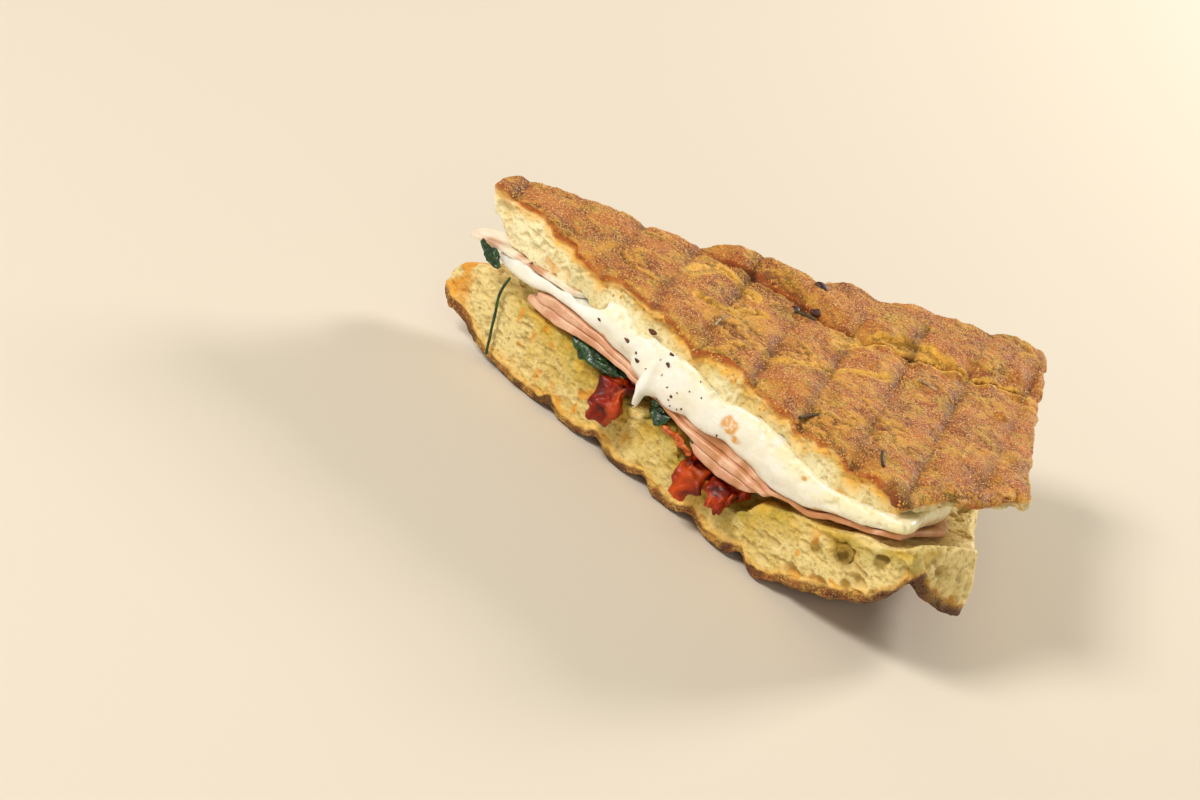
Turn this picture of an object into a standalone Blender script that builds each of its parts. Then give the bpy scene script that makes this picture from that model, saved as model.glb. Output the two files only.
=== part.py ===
"""Half of a pressed panini, cut across at a slant, lying on its lower slice of bread.

The cut runs along +X and faces -Y. Lengths in this file are millimetres, and each finished
mesh is turned into metres at the end. The sandwich is first drawn with the tip of the cut at
x = 0, y = 0, and is then moved so that the origin is under the middle of it.
"""
import math

import bmesh
import bpy
from mathutils import Matrix, Vector, noise

MILLIMETRE = 0.001
GAP = 0.45                      # left between one layer and the next

# The plan of the two breads, seen from above: tip, heel, far corner and back corner
TOP_CORNERS = [(-0.5, 0.0), (129.0, 0.0), (142.8, 35.0), (105.8, 98.0), (-1.0, 9.0)]
BASE_CORNERS = [(-3.0, 0.0), (138.0, 0.0), (144.5, 23.0), (103.0, 95.0), (-3.0, 7.0)]
CORNER_RADIUS = 3.0
MERGE = 0.9                     # points of a net closer than this become one
OUTLINE_STEP = 8.0

# The grill that pressed the bread has straight ribs, the same above and below
RIB_PITCH = 15.4
RIB_START = 6.7
RIB_SLANT = 0.41                # how far a rib moves along the cut for each step into depth
TOP_RIB_DEPTH = 1.2
TOP_RIB_WIDTH = 2.4
BASE_RIB_DEPTH = [(20, 0.8), (50, 3.2), (102, 3.4), (112, 0.0)]
BASE_FLAT = 0.7                 # how much of each lobe underneath is pressed flat, at the cut
BASE_FLAT_INSIDE = 1.5          # and further in, where the sandwich rests
BASE_FLAT_DEPTH = 12.0

# Heights along the cut, as (distance along the cut, height)
FLOOR_FRONT = [(-5, 12.8), (0, 18.4), (5, 20.6), (20, 19.4), (36, 20.2), (47, 17.4), (60, 16.2),
               (68, 18.8), (80, 16.2), (91, 15.4), (100, 18.0), (112, 22.4), (128, 28.6), (139, 33.0)]
HAM_FRONT = [(16, 22.4), (26, 21.0), (41, 23.0), (52, 23.0), (65, 21.8), (74, 19.4), (82, 16.9),
             (90, 17.2), (98, 18.9), (107, 21.6), (120, 27.0), (130, 31.0), (137, 34.8)]
CHEESE_FRONT = [(8, 25.0), (18, 24.6), (30, 27.0), (41, 26.8), (51, 25.6), (62, 24.8), (71, 23.0),
                (84, 24.6), (91, 24.2), (99, 22.0), (107, 23.6), (120, 28.6), (130, 32.4), (137, 36.4)]
SLICE_FRONT = [(-2, 27.2), (5, 28.2), (12, 29.6), (18, 30.4), (30, 31.2), (46, 33.0)]
ROOF_FRONT = [(-2, 38.6), (3, 35.4), (10, 31.4), (24, 31.6), (35, 33.6), (50, 34.0), (64, 35.2),
              (78, 33.6), (90, 35.6), (104, 33.4), (111, 32.4), (120, 34.2), (130, 37.4), (137, 39.0)]
CREST_FRONT = [(-2, 42.4), (8, 42.8), (19, 43.2), (32, 41.0), (52, 43.0), (66, 40.6), (79, 43.2),
               (90, 41.4), (102, 40.3), (110, 42.0), (115, 40.6), (122, 43.2), (130, 41.8)]

# Heights in the middle of the sandwich
FLOOR_INSIDE = 18.4
HAM_INSIDE = 19.0
CHEESE_INSIDE = 25.4
SLICE_INSIDE = 32.4
ROOF_INSIDE = 33.0
CREST_INSIDE = 42.6
LAYER_DEPTH = 90.0              # how far in the shape of the cut is felt
CREST_DEPTH = 14.0
LAYER_DRIFT = 0.35              # the shape of the cut moves along by this much for each step into depth
SLICE_THICK = 1.3
FILLING_STEP = RIB_PITCH / 3.0  # cheese and ham share one net, so that their faces stay apart
FILLING_LINES = [2.0, 8.0, 15.0, 23.0, 32.0, 42.0, 53.0, 65.0, 78.0]

# The plans of the fillings
CHEESE_CORNERS = [(8.0, -1.0), (134.0, -0.8), (131.5, 8.0), (130.0, 24.0), (100.5, 89.0), (8.5, 8.5)]
LOWER_HAM_CORNERS = [(75, -0.6), (95, -0.6), (104, 20), (101, 70), (90, 46)]
MIDDLE_HAM_CORNERS = [(20, -1.0), (99, -1.2), (106, 24), (95, 80), (24, 20)]
UPPER_HAM_CORNERS = [(22, -0.4), (131, -0.2), (134, 20), (97, 81), (27, 19)]
TURKEY_CORNERS = [(-1, -1.6), (32, -1.2), (46, 30), (34, 34), (-1, 5)]
LOWER_HAM_SHARE = 0.36          # of the ham's whole thickness, right of the middle
UPPER_HAM_SHARES = (0.5, 0.68)  # where the upper ham starts, left and right of the middle
CHEESE_SWELL = (0.5, 1.2)       # how far melted cheese stands out of the cut: everywhere, and more
CHEESE_SWELL_MIDDLE = 78.0      # in the middle of its length
CHEESE_SWELL_REACH = 34.0

# The breads close up along the two far sides
PINCH_REACH = 16.0
PINCH_FLOOR = 2.6
PINCH_ROOF = -3.4
HEEL_LIFT = 2.2                 # the upper bread lifts off the lower one at the heel

# The lower bread curls up towards its edges
BACK_CURL = 12.0
BACK_CURL_REACH = 27.0
HEEL_FRONT = [(103, 0.0), (112, 4.8), (121, 8.6), (131, 13.6), (136, 19.4), (139.1, 27.0), (142, 25.2),
              (148, 25.0), (154, 26.0)]
HEEL_FALL = 0.55                # the heel comes down again by this much for each step into depth

# The long fold behind the middle of the crust, and two shorter splits, seen from above
FOLD = [(39, 34), (50, 40), (63, 41.5), (75, 42), (87, 50), (102, 62), (118, 76)]
SPLITS = [[(78, 16), (86, 28), (94, 41)], [(54, 15.5), (64, 19), (65, 26)]]
FOLD_DEPTH = 2.2
SPLIT_DEPTH = 1.2
FOLD_WIDTH = 2.8
STRIP_RISE = 2.0                # the crust behind the fold stands a little higher
STRIP_RUN = 7.0

# The back edge of the crust: (share of the way along it, set in by, lowered by)
BACK_EDGE = [(0.0, 0.0, 0.0), (0.25, 0.8, 0.2), (0.35, 3.2, 1.2), (0.41, 0.6, 0.5), (0.55, 3.0, 1.4),
             (0.63, 0.3, 0.0), (0.69, 2.6, 1.0), (0.76, 0.0, -0.3), (0.84, 1.0, 0.4),
             (0.9, -1.0, -0.4), (1.0, 0.0, 0.0)]

# Holes in the crumb of the lower bread: (along the cut, height, radius)
CRUMB_HOLES = [(122.0, 20.6, 3.1), (115.2, 17.6, 1.5), (130.6, 24.6, 1.6), (125.8, 14.8, 1.4)]

# Dried tomato strips: (along the cut, height where they leave the filling, width, length)
TOMATOES = {
    "tomato_left": (53.0, 18.9, 7.8, 16.5),
    "tomato_middle": (80.4, 14.6, 6.6, 15.0),
    "tomato_right": (88.8, 14.2, 7.4, 11.5),
}
TOMATO_THICK = 2.0
TOMATO_INSIDE = 6.5             # the length that lies in the filling
TOMATO_BEND = 2.6
TOMATO_FORWARD = 1.0            # how far in front of the cut the bend starts
POCKET_DEPTH = 4.2              # the lower bread is dented under the two right-hand strips
POCKET_MIDDLE = 84.6
POCKET_HALF_WIDTH = 10.5
POCKET_EDGE = 3.0
POCKET_START, POCKET_REACH = 5.0, 12.0

# A drip of melted cheese in front of the cut: (along the cut, top, lowest point, radius)
DRIPS = [(60.2, 30.2, 18.2, 1.6)]
DRIP_FRONT = -3.5
DRIP_LEAN = 1.1                 # its upper half leans back into the cheese

# Herb needles on the crust: (x, y, direction in degrees)
NEEDLES = [(63.7, 11.3, 100), (70.4, 37.0, 20), (117.8, 5.9, 130), (102.9, 45.1, 5), (97.7, 4.4, 75)]
NEEDLE_LENGTH = 5.2
NEEDLE_RADIUS = 0.55
NEEDLE_LEAN = 84                # degrees from upright
CRUMB_LUMP = (118.3, 56.4)
CRUMB_LUMP_RADIUS = 1.7

# Spinach leaves: (length, width, place, turn, tilt and roll in degrees, waviness, seed)
LEAVES = {
    "spinach_tip": (8.0, 3.6, (8.0, -3.0, 26.6), (0, 25, 80), 0.8, 1.0),
    "spinach_left": (12.0, 9.0, (41.6, 1.6, 21.3), (0, 3, 3), 0.35, 2.0),
    "spinach_right": (7.0, 8.0, (65.6, 1.6, 20.2), (0, -3, 3), 0.3, 4.0),
}
LEAF_THICK = 0.6
STEM_ROUTE = [(13.4, -1.3, 23.4), (12.8, -1.4, 20.4), (12.9, -1.4, 17.0), (13.6, -1.5, 13.0),
              (14.8, -1.6, 9.0), (15.2, -1.7, 5.6), (15.8, -1.8, 3.0)]
STEM_RADIUS = 0.45

COLOURS = {
    "bottom_bread": (0.78, 0.62, 0.30),
    "top_bread": (0.48, 0.24, 0.10),
    "cheese": (0.90, 0.84, 0.72),
    "turkey_slice": (0.84, 0.66, 0.54),
    "ham_slice_lower": (0.72, 0.42, 0.34),
    "ham_slice_middle": (0.76, 0.46, 0.38),
    "ham_slice_upper": (0.80, 0.50, 0.42),
    "spinach": (0.05, 0.14, 0.04),
    "tomato": (0.46, 0.08, 0.03),
}


def placed(place, angles):
    """A place and a turn about Z, then Y, then X, in degrees."""
    turn, tilt, roll = (math.radians(angle) for angle in angles)
    spin = Matrix.Rotation(turn, 4, "Z") @ Matrix.Rotation(tilt, 4, "Y") @ Matrix.Rotation(roll, 4, "X")
    return Matrix.Translation(place) @ spin


def clear_scene():
    for item in list(bpy.data.objects):
        bpy.data.objects.remove(item, do_unlink=True)


def collection(name):
    group = bpy.data.collections.new(name)
    bpy.context.scene.collection.children.link(group)
    return group


def material(name, colour, roughness):
    finish = bpy.data.materials.new(name)
    finish.use_nodes = True
    shader = finish.node_tree.nodes["Principled BSDF"]
    shader.inputs["Base Color"].default_value = (*colour, 1.0)
    shader.inputs["Roughness"].default_value = roughness
    shader.inputs["Metallic"].default_value = 0.0
    return finish


def ease(value):
    value = min(1.0, max(0.0, value))
    return value * value * (3.0 - 2.0 * value)


def blend(start, end, share):
    return start + (end - start) * share


def height_at(points, x):
    """Reads a short list of (distance, height) as one smooth line."""
    if x <= points[0][0]:
        return points[0][1]
    for (x0, z0), (x1, z1) in zip(points, points[1:]):
        if x <= x1:
            return blend(z0, z1, ease((x - x0) / (x1 - x0)))
    return points[-1][1]


def unevenness(x, y, size, height, seed):
    return height * noise.noise(Vector((x / size, y / size, seed)))


def distance_to_path(x, y, path):
    point = Vector((x, y))
    best = 1.0e9
    for start, end in zip(path, path[1:]):
        start, end = Vector(start), Vector(end)
        along = end - start
        share = min(1.0, max(0.0, (point - start).dot(along) / along.length_squared))
        best = min(best, (point - start - along * share).length)
    return best


def side_distance(x, y, start, end):
    """How far a point lies inside the line from one corner to the next."""
    along = (Vector(end) - Vector(start)).normalized()
    away = Vector((x, y)) - Vector(start)
    return along.x * away.y - along.y * away.x


def rib_offset(x, y):
    """Distance along the cut from the nearest grill rib."""
    run = (x + RIB_SLANT * y - RIB_START) / RIB_PITCH
    return (run - round(run)) * RIB_PITCH


def rounded_outline(corners, radius, step):
    """Points round the plan, with each corner cut back and rounded."""
    points = []
    count = len(corners)
    for index in range(count):
        before, here, after = (Vector(corners[(index + shift) % count]) for shift in (-1, 0, 1))
        reach = min(radius, 0.4 * (here - before).length, 0.4 * (after - here).length)
        into = here + (before - here).normalized() * reach
        out = here + (after - here).normalized() * reach
        points += [into, (into + out + 2.0 * here) / 4.0, out]
        length = (after - here).length
        pieces = int((length - 2.0 * reach) / step)
        goal = after + (here - after).normalized() * min(radius, 0.4 * length)
        for piece in range(1, pieces):
            points.append(out.lerp(goal, piece / pieces))
    return points


def back_edge_values(share):
    inset = height_at([(place, value) for place, value, _ in BACK_EDGE], share)
    drop = height_at([(place, value) for place, _, value in BACK_EDGE], share)
    return inset, drop


def layer(front, inside, rise, x, y):
    """A layer's height: as the cut shows it in front, level in the middle, pinched at the sides."""
    height = blend(height_at(front, x - LAYER_DRIFT * y), inside, ease(y / LAYER_DEPTH))
    tip_side = side_distance(x, y, TOP_CORNERS[3], TOP_CORNERS[4])
    far_side = side_distance(x, y, TOP_CORNERS[2], TOP_CORNERS[3])
    near = ease(1.0 - min(tip_side, far_side) / PINCH_REACH) * ease((y - 32.0) / 26.0)
    return height + rise * near


def pocket(x, y):
    across = ease(1.0 - (abs(x - POCKET_MIDDLE) - POCKET_HALF_WIDTH) / POCKET_EDGE)
    return POCKET_DEPTH * across * ease(1.0 - (y - POCKET_START) / (POCKET_REACH - POCKET_START))


def floor_height(x, y):
    return layer(FLOOR_FRONT, FLOOR_INSIDE, PINCH_FLOOR, x, y) - pocket(x, y)


def ham_height(x, y):
    return layer(HAM_FRONT, HAM_INSIDE, PINCH_FLOOR, x, y)


def cheese_height(x, y):
    return layer(CHEESE_FRONT, CHEESE_INSIDE, 0.0, x, y)


def slice_height(x, y):
    return layer(SLICE_FRONT, SLICE_INSIDE, PINCH_ROOF, x, y)


def roof_height(x, y):
    lift = HEEL_LIFT * ease((x - 118.0) / 20.0) * ease(y / 20.0) * ease(1.0 - (y - 40.0) / 20.0)
    return layer(ROOF_FRONT, ROOF_INSIDE, PINCH_ROOF, x, y) + lift


def underside_height(x, y):
    tip_side = side_distance(x, y, BASE_CORNERS[3], BASE_CORNERS[4])
    far_side = side_distance(x, y, BASE_CORNERS[2], BASE_CORNERS[3])
    back = BACK_CURL * max(0.0, 1.0 - max(0.0, min(tip_side, far_side)) / BACK_CURL_REACH) ** 2
    run = x + RIB_SLANT * y
    heel = height_at(HEEL_FRONT, run) - HEEL_FALL * y
    lobe = 1.0 - abs(math.cos(math.pi * (rib_offset(x, y) / RIB_PITCH - 0.5)))
    rough = unevenness(x, y, 9.0, 0.5, 3.0)
    flat = blend(BASE_FLAT, BASE_FLAT_INSIDE, ease(y / BASE_FLAT_DEPTH))
    return max(0.0, max(back, heel) + height_at(BASE_RIB_DEPTH, run) * lobe - flat + rough)


def crust_height(x, y):
    height = blend(height_at(CREST_FRONT, x), CREST_INSIDE, ease(y / CREST_DEPTH))
    height += unevenness(x, y, 13.0, 0.9, 1.0) + unevenness(x, y, 5.0, 0.4, 2.0)
    rib = rib_offset(x, y)
    height -= TOP_RIB_DEPTH * math.exp(-(rib / TOP_RIB_WIDTH) ** 2)
    height -= FOLD_DEPTH * math.exp(-(distance_to_path(x, y, FOLD) / FOLD_WIDTH) ** 2)
    for split in SPLITS:
        height -= SPLIT_DEPTH * math.exp(-(distance_to_path(x, y, split) / FOLD_WIDTH) ** 2)
    behind = 0.0
    for start, end in zip(FOLD, FOLD[1:]):
        if start[0] <= x <= end[0]:
            line = blend(start[1], end[1], (x - start[0]) / (end[0] - start[0]))
            behind = ease((y - line) / STRIP_RUN)
    height += STRIP_RISE * behind
    start, end = Vector(TOP_CORNERS[4]), Vector(TOP_CORNERS[3])
    share = (Vector((x, y)) - start).dot(end - start) / (end - start).length_squared
    tip_side = side_distance(x, y, TOP_CORNERS[3], TOP_CORNERS[4])
    height -= back_edge_values(share)[1] * ease(1.0 - tip_side / 10.0)
    return height


def slab(outline, across_step, lines, levels):
    """A disc whose rim is put onto the outline, cut along the grill ribs, then drawn up into a slab."""
    mesh = bmesh.new()
    count = len(outline)
    bmesh.ops.create_circle(mesh, cap_ends=True, cap_tris=False, segments=count, radius=1.0)
    for vertex in mesh.verts:
        turn = math.atan2(vertex.co.y, vertex.co.x) / (2.0 * math.pi)
        place = outline[round(turn * count) % count]
        vertex.co = (place.x, place.y, 0.0)
    runs = [point.x + RIB_SLANT * point.y for point in outline]
    first = math.floor((min(runs) - RIB_START) / across_step)
    last = math.ceil((max(runs) - RIB_START) / across_step)
    cuts = [((RIB_START + number * across_step, 0, 0), (1, RIB_SLANT, 0)) for number in range(first, last)]
    cuts += [((0, line, 0), (0, 1, 0)) for line in lines]
    for place, normal in cuts:
        bmesh.ops.bisect_plane(mesh, geom=mesh.verts[:] + mesh.edges[:] + mesh.faces[:], dist=0.02,
                               plane_co=place, plane_no=normal)
    bmesh.ops.remove_doubles(mesh, verts=mesh.verts[:], dist=MERGE)
    drawn = bmesh.ops.extrude_face_region(mesh, geom=mesh.faces[:])
    for item in drawn["geom"]:
        if isinstance(item, bmesh.types.BMVert):
            item.co.z = 1.0
    for level in range(1, levels):
        bmesh.ops.bisect_plane(mesh, geom=mesh.verts[:] + mesh.edges[:] + mesh.faces[:], dist=0.001,
                               plane_co=(0, 0, level / levels), plane_no=(0, 0, 1))
    return mesh


def depth_lines(first, step, growth, last):
    """Cuts across the ribs, closest together near the cut face."""
    lines = [first]
    while lines[-1] + step < last:
        lines.append(lines[-1] + step)
        step *= growth
    return lines


def nearest_side(outline, x, y):
    """Distance to the outline and the outward direction there."""
    point = Vector((x, y))
    best, outward = 1.0e9, Vector((0.0, -1.0))
    for start, end in zip(outline, outline[1:] + outline[:1]):
        along = end - start
        share = min(1.0, max(0.0, (point - start).dot(along) / along.length_squared))
        away = (point - start - along * share).length
        if away < best:
            best, outward = away, Vector((along.y, -along.x)).normalized()
    return best, outward


def shape_slab(mesh, outline, low, high, side_push, rim_low, rim_high):
    """Gives a flat slab its lower and upper surface, and pushes its sides out or in."""
    for vertex in mesh.verts:
        x, y, level = vertex.co
        away, outward = nearest_side(outline, x, y)
        near = max(0.0, 1.0 - away / 9.0) ** 2
        bottom = low(x, y) + rim_low * near
        top = high(x, y) - rim_high * near
        top = max(top, bottom + 0.6)
        push = side_push(x, y, level, outward) * near
        vertex.co = (x + outward.x * push, y + outward.y * push, blend(bottom, top, level))


def finish_mesh(name, mesh, colour, roughness, parts):
    """Turns millimetres into metres and makes a named object with its own material."""
    bmesh.ops.triangulate(mesh, faces=mesh.faces[:], quad_method="SHORT_EDGE")
    bmesh.ops.recalc_face_normals(mesh, faces=mesh.faces[:])
    bmesh.ops.transform(mesh, matrix=Matrix.Scale(MILLIMETRE, 4), verts=mesh.verts[:])
    data = bpy.data.meshes.new(name)
    mesh.to_mesh(data)
    mesh.free()
    data.materials.append(material(name, colour, roughness))
    piece = bpy.data.objects.new(name, data)
    parts.objects.link(piece)
    return piece


def boolean_collection(piece, group, operation, solver):
    """Joins or cuts a whole collection at once, applies it and removes the collection's objects."""
    modifier = piece.modifiers.new("joined" if operation == "UNION" else "cut", "BOOLEAN")
    modifier.operation = operation
    modifier.operand_type = "COLLECTION"
    modifier.collection = group
    modifier.solver = solver
    result = bpy.data.meshes.new_from_object(piece.evaluated_get(bpy.context.evaluated_depsgraph_get()))
    piece.modifiers.clear()
    old = piece.data
    finish = old.materials[0]
    piece.data = result
    result.materials.clear()
    result.materials.append(finish)
    bpy.data.meshes.remove(old)
    for item in list(group.objects):
        bpy.data.objects.remove(item, do_unlink=True)


def helper_object(name, mesh, group):
    bmesh.ops.transform(mesh, matrix=Matrix.Scale(MILLIMETRE, 4), verts=mesh.verts[:])
    data = bpy.data.meshes.new(name)
    mesh.to_mesh(data)
    mesh.free()
    item = bpy.data.objects.new(name, data)
    item.hide_render = True
    item.display_type = "WIRE"
    group.objects.link(item)
    return item


def bread_push(low, high):
    """The knife leaves the cut a little uneven; the heel leans, and the other sides bulge."""
    def push(x, y, level, outward):
        if outward.y < -0.95:
            return unevenness(x, 11.0 * level, 4.0, 0.5, 5.0) - 0.25
        lean = blend(low, high, level) * ease((x - 70.0) / 50.0)
        return lean + 3.0 * level * (1.0 - level)
    return push


def make_bottom_bread(parts, cutters):
    outline = rounded_outline(BASE_CORNERS, CORNER_RADIUS, OUTLINE_STEP)
    mesh = slab(outline, RIB_PITCH / 5.0, depth_lines(1.6, 3.4, 1.06, 92.0), 2)
    shape_slab(mesh, outline, underside_height, floor_height, bread_push(1.0, -2.6), 0.3, 0.4)
    bread = finish_mesh("bottom_bread", mesh, COLOURS["bottom_bread"], 0.8, parts)
    for number, (x, z, radius) in enumerate(CRUMB_HOLES):
        hole = bmesh.new()
        bmesh.ops.create_icosphere(hole, subdivisions=2, radius=radius)
        bmesh.ops.translate(hole, verts=hole.verts[:], vec=(x, 0.25 * radius, z))
        helper_object("crumb_hole_%d" % number, hole, cutters)
    boolean_collection(bread, cutters, "DIFFERENCE", "EXACT")
    return bread


def make_top_bread(parts, toppings):
    outline = rounded_outline(TOP_CORNERS, CORNER_RADIUS, OUTLINE_STEP)
    start, end = Vector(TOP_CORNERS[4]), Vector(TOP_CORNERS[3])
    along = end - start
    inward = Vector((along.y, -along.x)).normalized()
    ragged = []
    for point in outline:
        share = (point - start).dot(along) / along.length_squared
        on_back = abs((point - start).dot(inward)) < 0.5 and 0.02 < share < 0.98
        ragged.append(point + inward * back_edge_values(share)[0] if on_back else point)
    mesh = slab(ragged, RIB_PITCH / 5.0, depth_lines(1.6, 3.2, 1.05, 95.0), 2)
    shape_slab(mesh, ragged, roof_height, crust_height, bread_push(0.2, -1.6), 0.4, 0.7)
    bread = finish_mesh("top_bread", mesh, COLOURS["top_bread"], 0.75, parts)
    for number, (x, y, direction) in enumerate(NEEDLES):
        needle = bmesh.new()
        bmesh.ops.create_cone(needle, cap_ends=True, segments=5, radius1=NEEDLE_RADIUS,
                              radius2=0.6 * NEEDLE_RADIUS, depth=NEEDLE_LENGTH)
        place = placed((x, y, crust_height(x, y) + 0.35 * NEEDLE_RADIUS), (direction, NEEDLE_LEAN, 0))
        bmesh.ops.transform(needle, matrix=place, verts=needle.verts[:])
        helper_object("herb_needle_%d" % number, needle, toppings)
    lump = bmesh.new()
    bmesh.ops.create_icosphere(lump, subdivisions=1, radius=CRUMB_LUMP_RADIUS)
    x, y = CRUMB_LUMP
    bmesh.ops.translate(lump, verts=lump.verts[:], vec=(x, y, crust_height(x, y) + 0.3))
    helper_object("crumb_lump", lump, toppings)
    boolean_collection(bread, toppings, "UNION", "MANIFOLD")
    return bread


def no_push(x, y, level, outward):
    return 0.0


def cheese_top(x, y):
    """The cheese ends under the thin slice at the tip, and under the bread elsewhere."""
    under_slice = slice_height(x, y) - SLICE_THICK - GAP
    under_roof = roof_height(x, y) - GAP
    return blend(under_slice, under_roof, ease((x - LAYER_DRIFT * y - 34.0) / 14.0))


def cheese_push(x, y, level, outward):
    """Melted cheese swells out of the cut, most in the middle of its length."""
    least, more = CHEESE_SWELL
    swell = least + more * math.exp(-((x - CHEESE_SWELL_MIDDLE) / CHEESE_SWELL_REACH) ** 2)
    return (swell + unevenness(x, 0.0, 7.0, 0.8, 8.0)) * 4.0 * level * (1.0 - level)


def make_cheese(parts, toppings):
    outline = rounded_outline(CHEESE_CORNERS, 4.0, 7.0)
    mesh = slab(outline, FILLING_STEP, FILLING_LINES, 2)
    shape_slab(mesh, outline, cheese_height, cheese_top, cheese_push, 0.5, 0.5)
    cheese = finish_mesh("cheese", mesh, COLOURS["cheese"], 0.35, parts)
    for number, (x, top, low, radius) in enumerate(DRIPS):
        drip = bmesh.new()
        bmesh.ops.create_uvsphere(drip, u_segments=8, v_segments=8, radius=1.0)
        middle, half = 0.5 * (top + low), 0.5 * (top - low)
        for vertex in drip.verts:
            waist = 1.0 - 0.25 * vertex.co.z
            front = DRIP_FRONT + DRIP_LEAN * max(0.0, vertex.co.z)
            vertex.co = (x + radius * waist * vertex.co.x, front + radius * waist * vertex.co.y,
                         middle + half * vertex.co.z)
        helper_object("drip_%d" % number, drip, toppings)
    boolean_collection(cheese, toppings, "UNION", "MANIFOLD")
    return cheese


def make_slice(name, corners, low, high, hang, parts):
    """One thin slice of meat whose edge shows at the cut."""
    outline = rounded_outline(corners, 3.0, 8.0)
    mesh = slab(outline, FILLING_STEP, FILLING_LINES, 1)
    shape_slab(mesh, outline, low, high, no_push, 0.1, 0.1)
    for vertex in mesh.verts:
        vertex.co.y -= hang * max(0.0, 1.0 - (vertex.co.y + 1.0) / 4.0)
    return finish_mesh(name, mesh, COLOURS[name], 0.45, parts)


def ham_layer(share):
    """Height at a share of the way up through the ham."""
    def height(x, y):
        return blend(ham_height(x, y), cheese_height(x, y), share(x - LAYER_DRIFT * y))
    return height


def lower_share(run):
    return LOWER_HAM_SHARE * ease((run - 58.0) / 10.0)


def upper_share(run):
    return blend(*UPPER_HAM_SHARES, ease((run - 56.0) / 12.0)) * ease(1.0 - (run - 103.0) / 10.0)


def raised(height, amount):
    return lambda x, y: height(x, y) + amount


def make_meat(parts):
    lower_top, upper_floor = ham_layer(lower_share), ham_layer(upper_share)
    make_slice("ham_slice_lower", LOWER_HAM_CORNERS, ham_height, raised(lower_top, -GAP), 0.9, parts)
    make_slice("ham_slice_middle", MIDDLE_HAM_CORNERS, lower_top, raised(upper_floor, -GAP), 0.3, parts)
    make_slice("ham_slice_upper", UPPER_HAM_CORNERS, upper_floor, raised(cheese_height, -GAP), 0.0, parts)
    make_slice("turkey_slice", TURKEY_CORNERS, raised(slice_height, -SLICE_THICK), slice_height, 0.0, parts)


def leaf(name, length, width, place, wave, seed, parts):
    """A thin wavy leaf: a flat net bent by a rule, then given its thickness."""
    mesh = bmesh.new()
    bmesh.ops.create_grid(mesh, x_segments=7, y_segments=4, size=0.5)
    for vertex in mesh.verts:
        along, across = vertex.co.x, vertex.co.y
        shape = math.sqrt(max(0.06, 1.0 - (1.9 * along) ** 2))
        ripple = wave * math.sin(9.0 * along + seed) * math.cos(5.0 * across + seed)
        ripple += wave * 1.2 * noise.noise(Vector((3.0 * along, 3.0 * across, seed)))
        vertex.co = (length * along, width * across * shape, ripple)
    bmesh.ops.triangulate(mesh, faces=mesh.faces[:])
    bmesh.ops.transform(mesh, matrix=place, verts=mesh.verts[:])
    bmesh.ops.transform(mesh, matrix=Matrix.Scale(MILLIMETRE, 4), verts=mesh.verts[:])
    data = bpy.data.meshes.new(name)
    mesh.to_mesh(data)
    mesh.free()
    data.materials.append(material(name, COLOURS["spinach"], 0.4))
    piece = bpy.data.objects.new(name, data)
    parts.objects.link(piece)
    shell = piece.modifiers.new("leaf thickness", "SOLIDIFY")
    shell.thickness = LEAF_THICK * MILLIMETRE
    shell.offset = 0.0
    return piece


def make_spinach(parts):
    for name, (length, width, place, angles, wave, seed) in LEAVES.items():
        leaf(name, length, width, placed(place, angles), wave, seed, parts)
    curve = bpy.data.curves.new("spinach_stem", "CURVE")
    curve.dimensions = "3D"
    curve.bevel_depth = STEM_RADIUS
    curve.bevel_resolution = 1
    curve.use_fill_caps = True
    spline = curve.splines.new("POLY")
    spline.points.add(len(STEM_ROUTE) - 1)
    for point, place in zip(spline.points, STEM_ROUTE):
        point.co = (*place, 1.0)
    source = bpy.data.objects.new("spinach_stem_curve", curve)
    parts.objects.link(source)
    data = bpy.data.meshes.new_from_object(source.evaluated_get(bpy.context.evaluated_depsgraph_get()))
    bpy.data.objects.remove(source, do_unlink=True)
    mesh = bmesh.new()
    mesh.from_mesh(data)
    bmesh.ops.remove_doubles(mesh, verts=mesh.verts[:], dist=0.001)
    finish_mesh("spinach_stem", mesh, COLOURS["spinach"], 0.4, parts)


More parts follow.
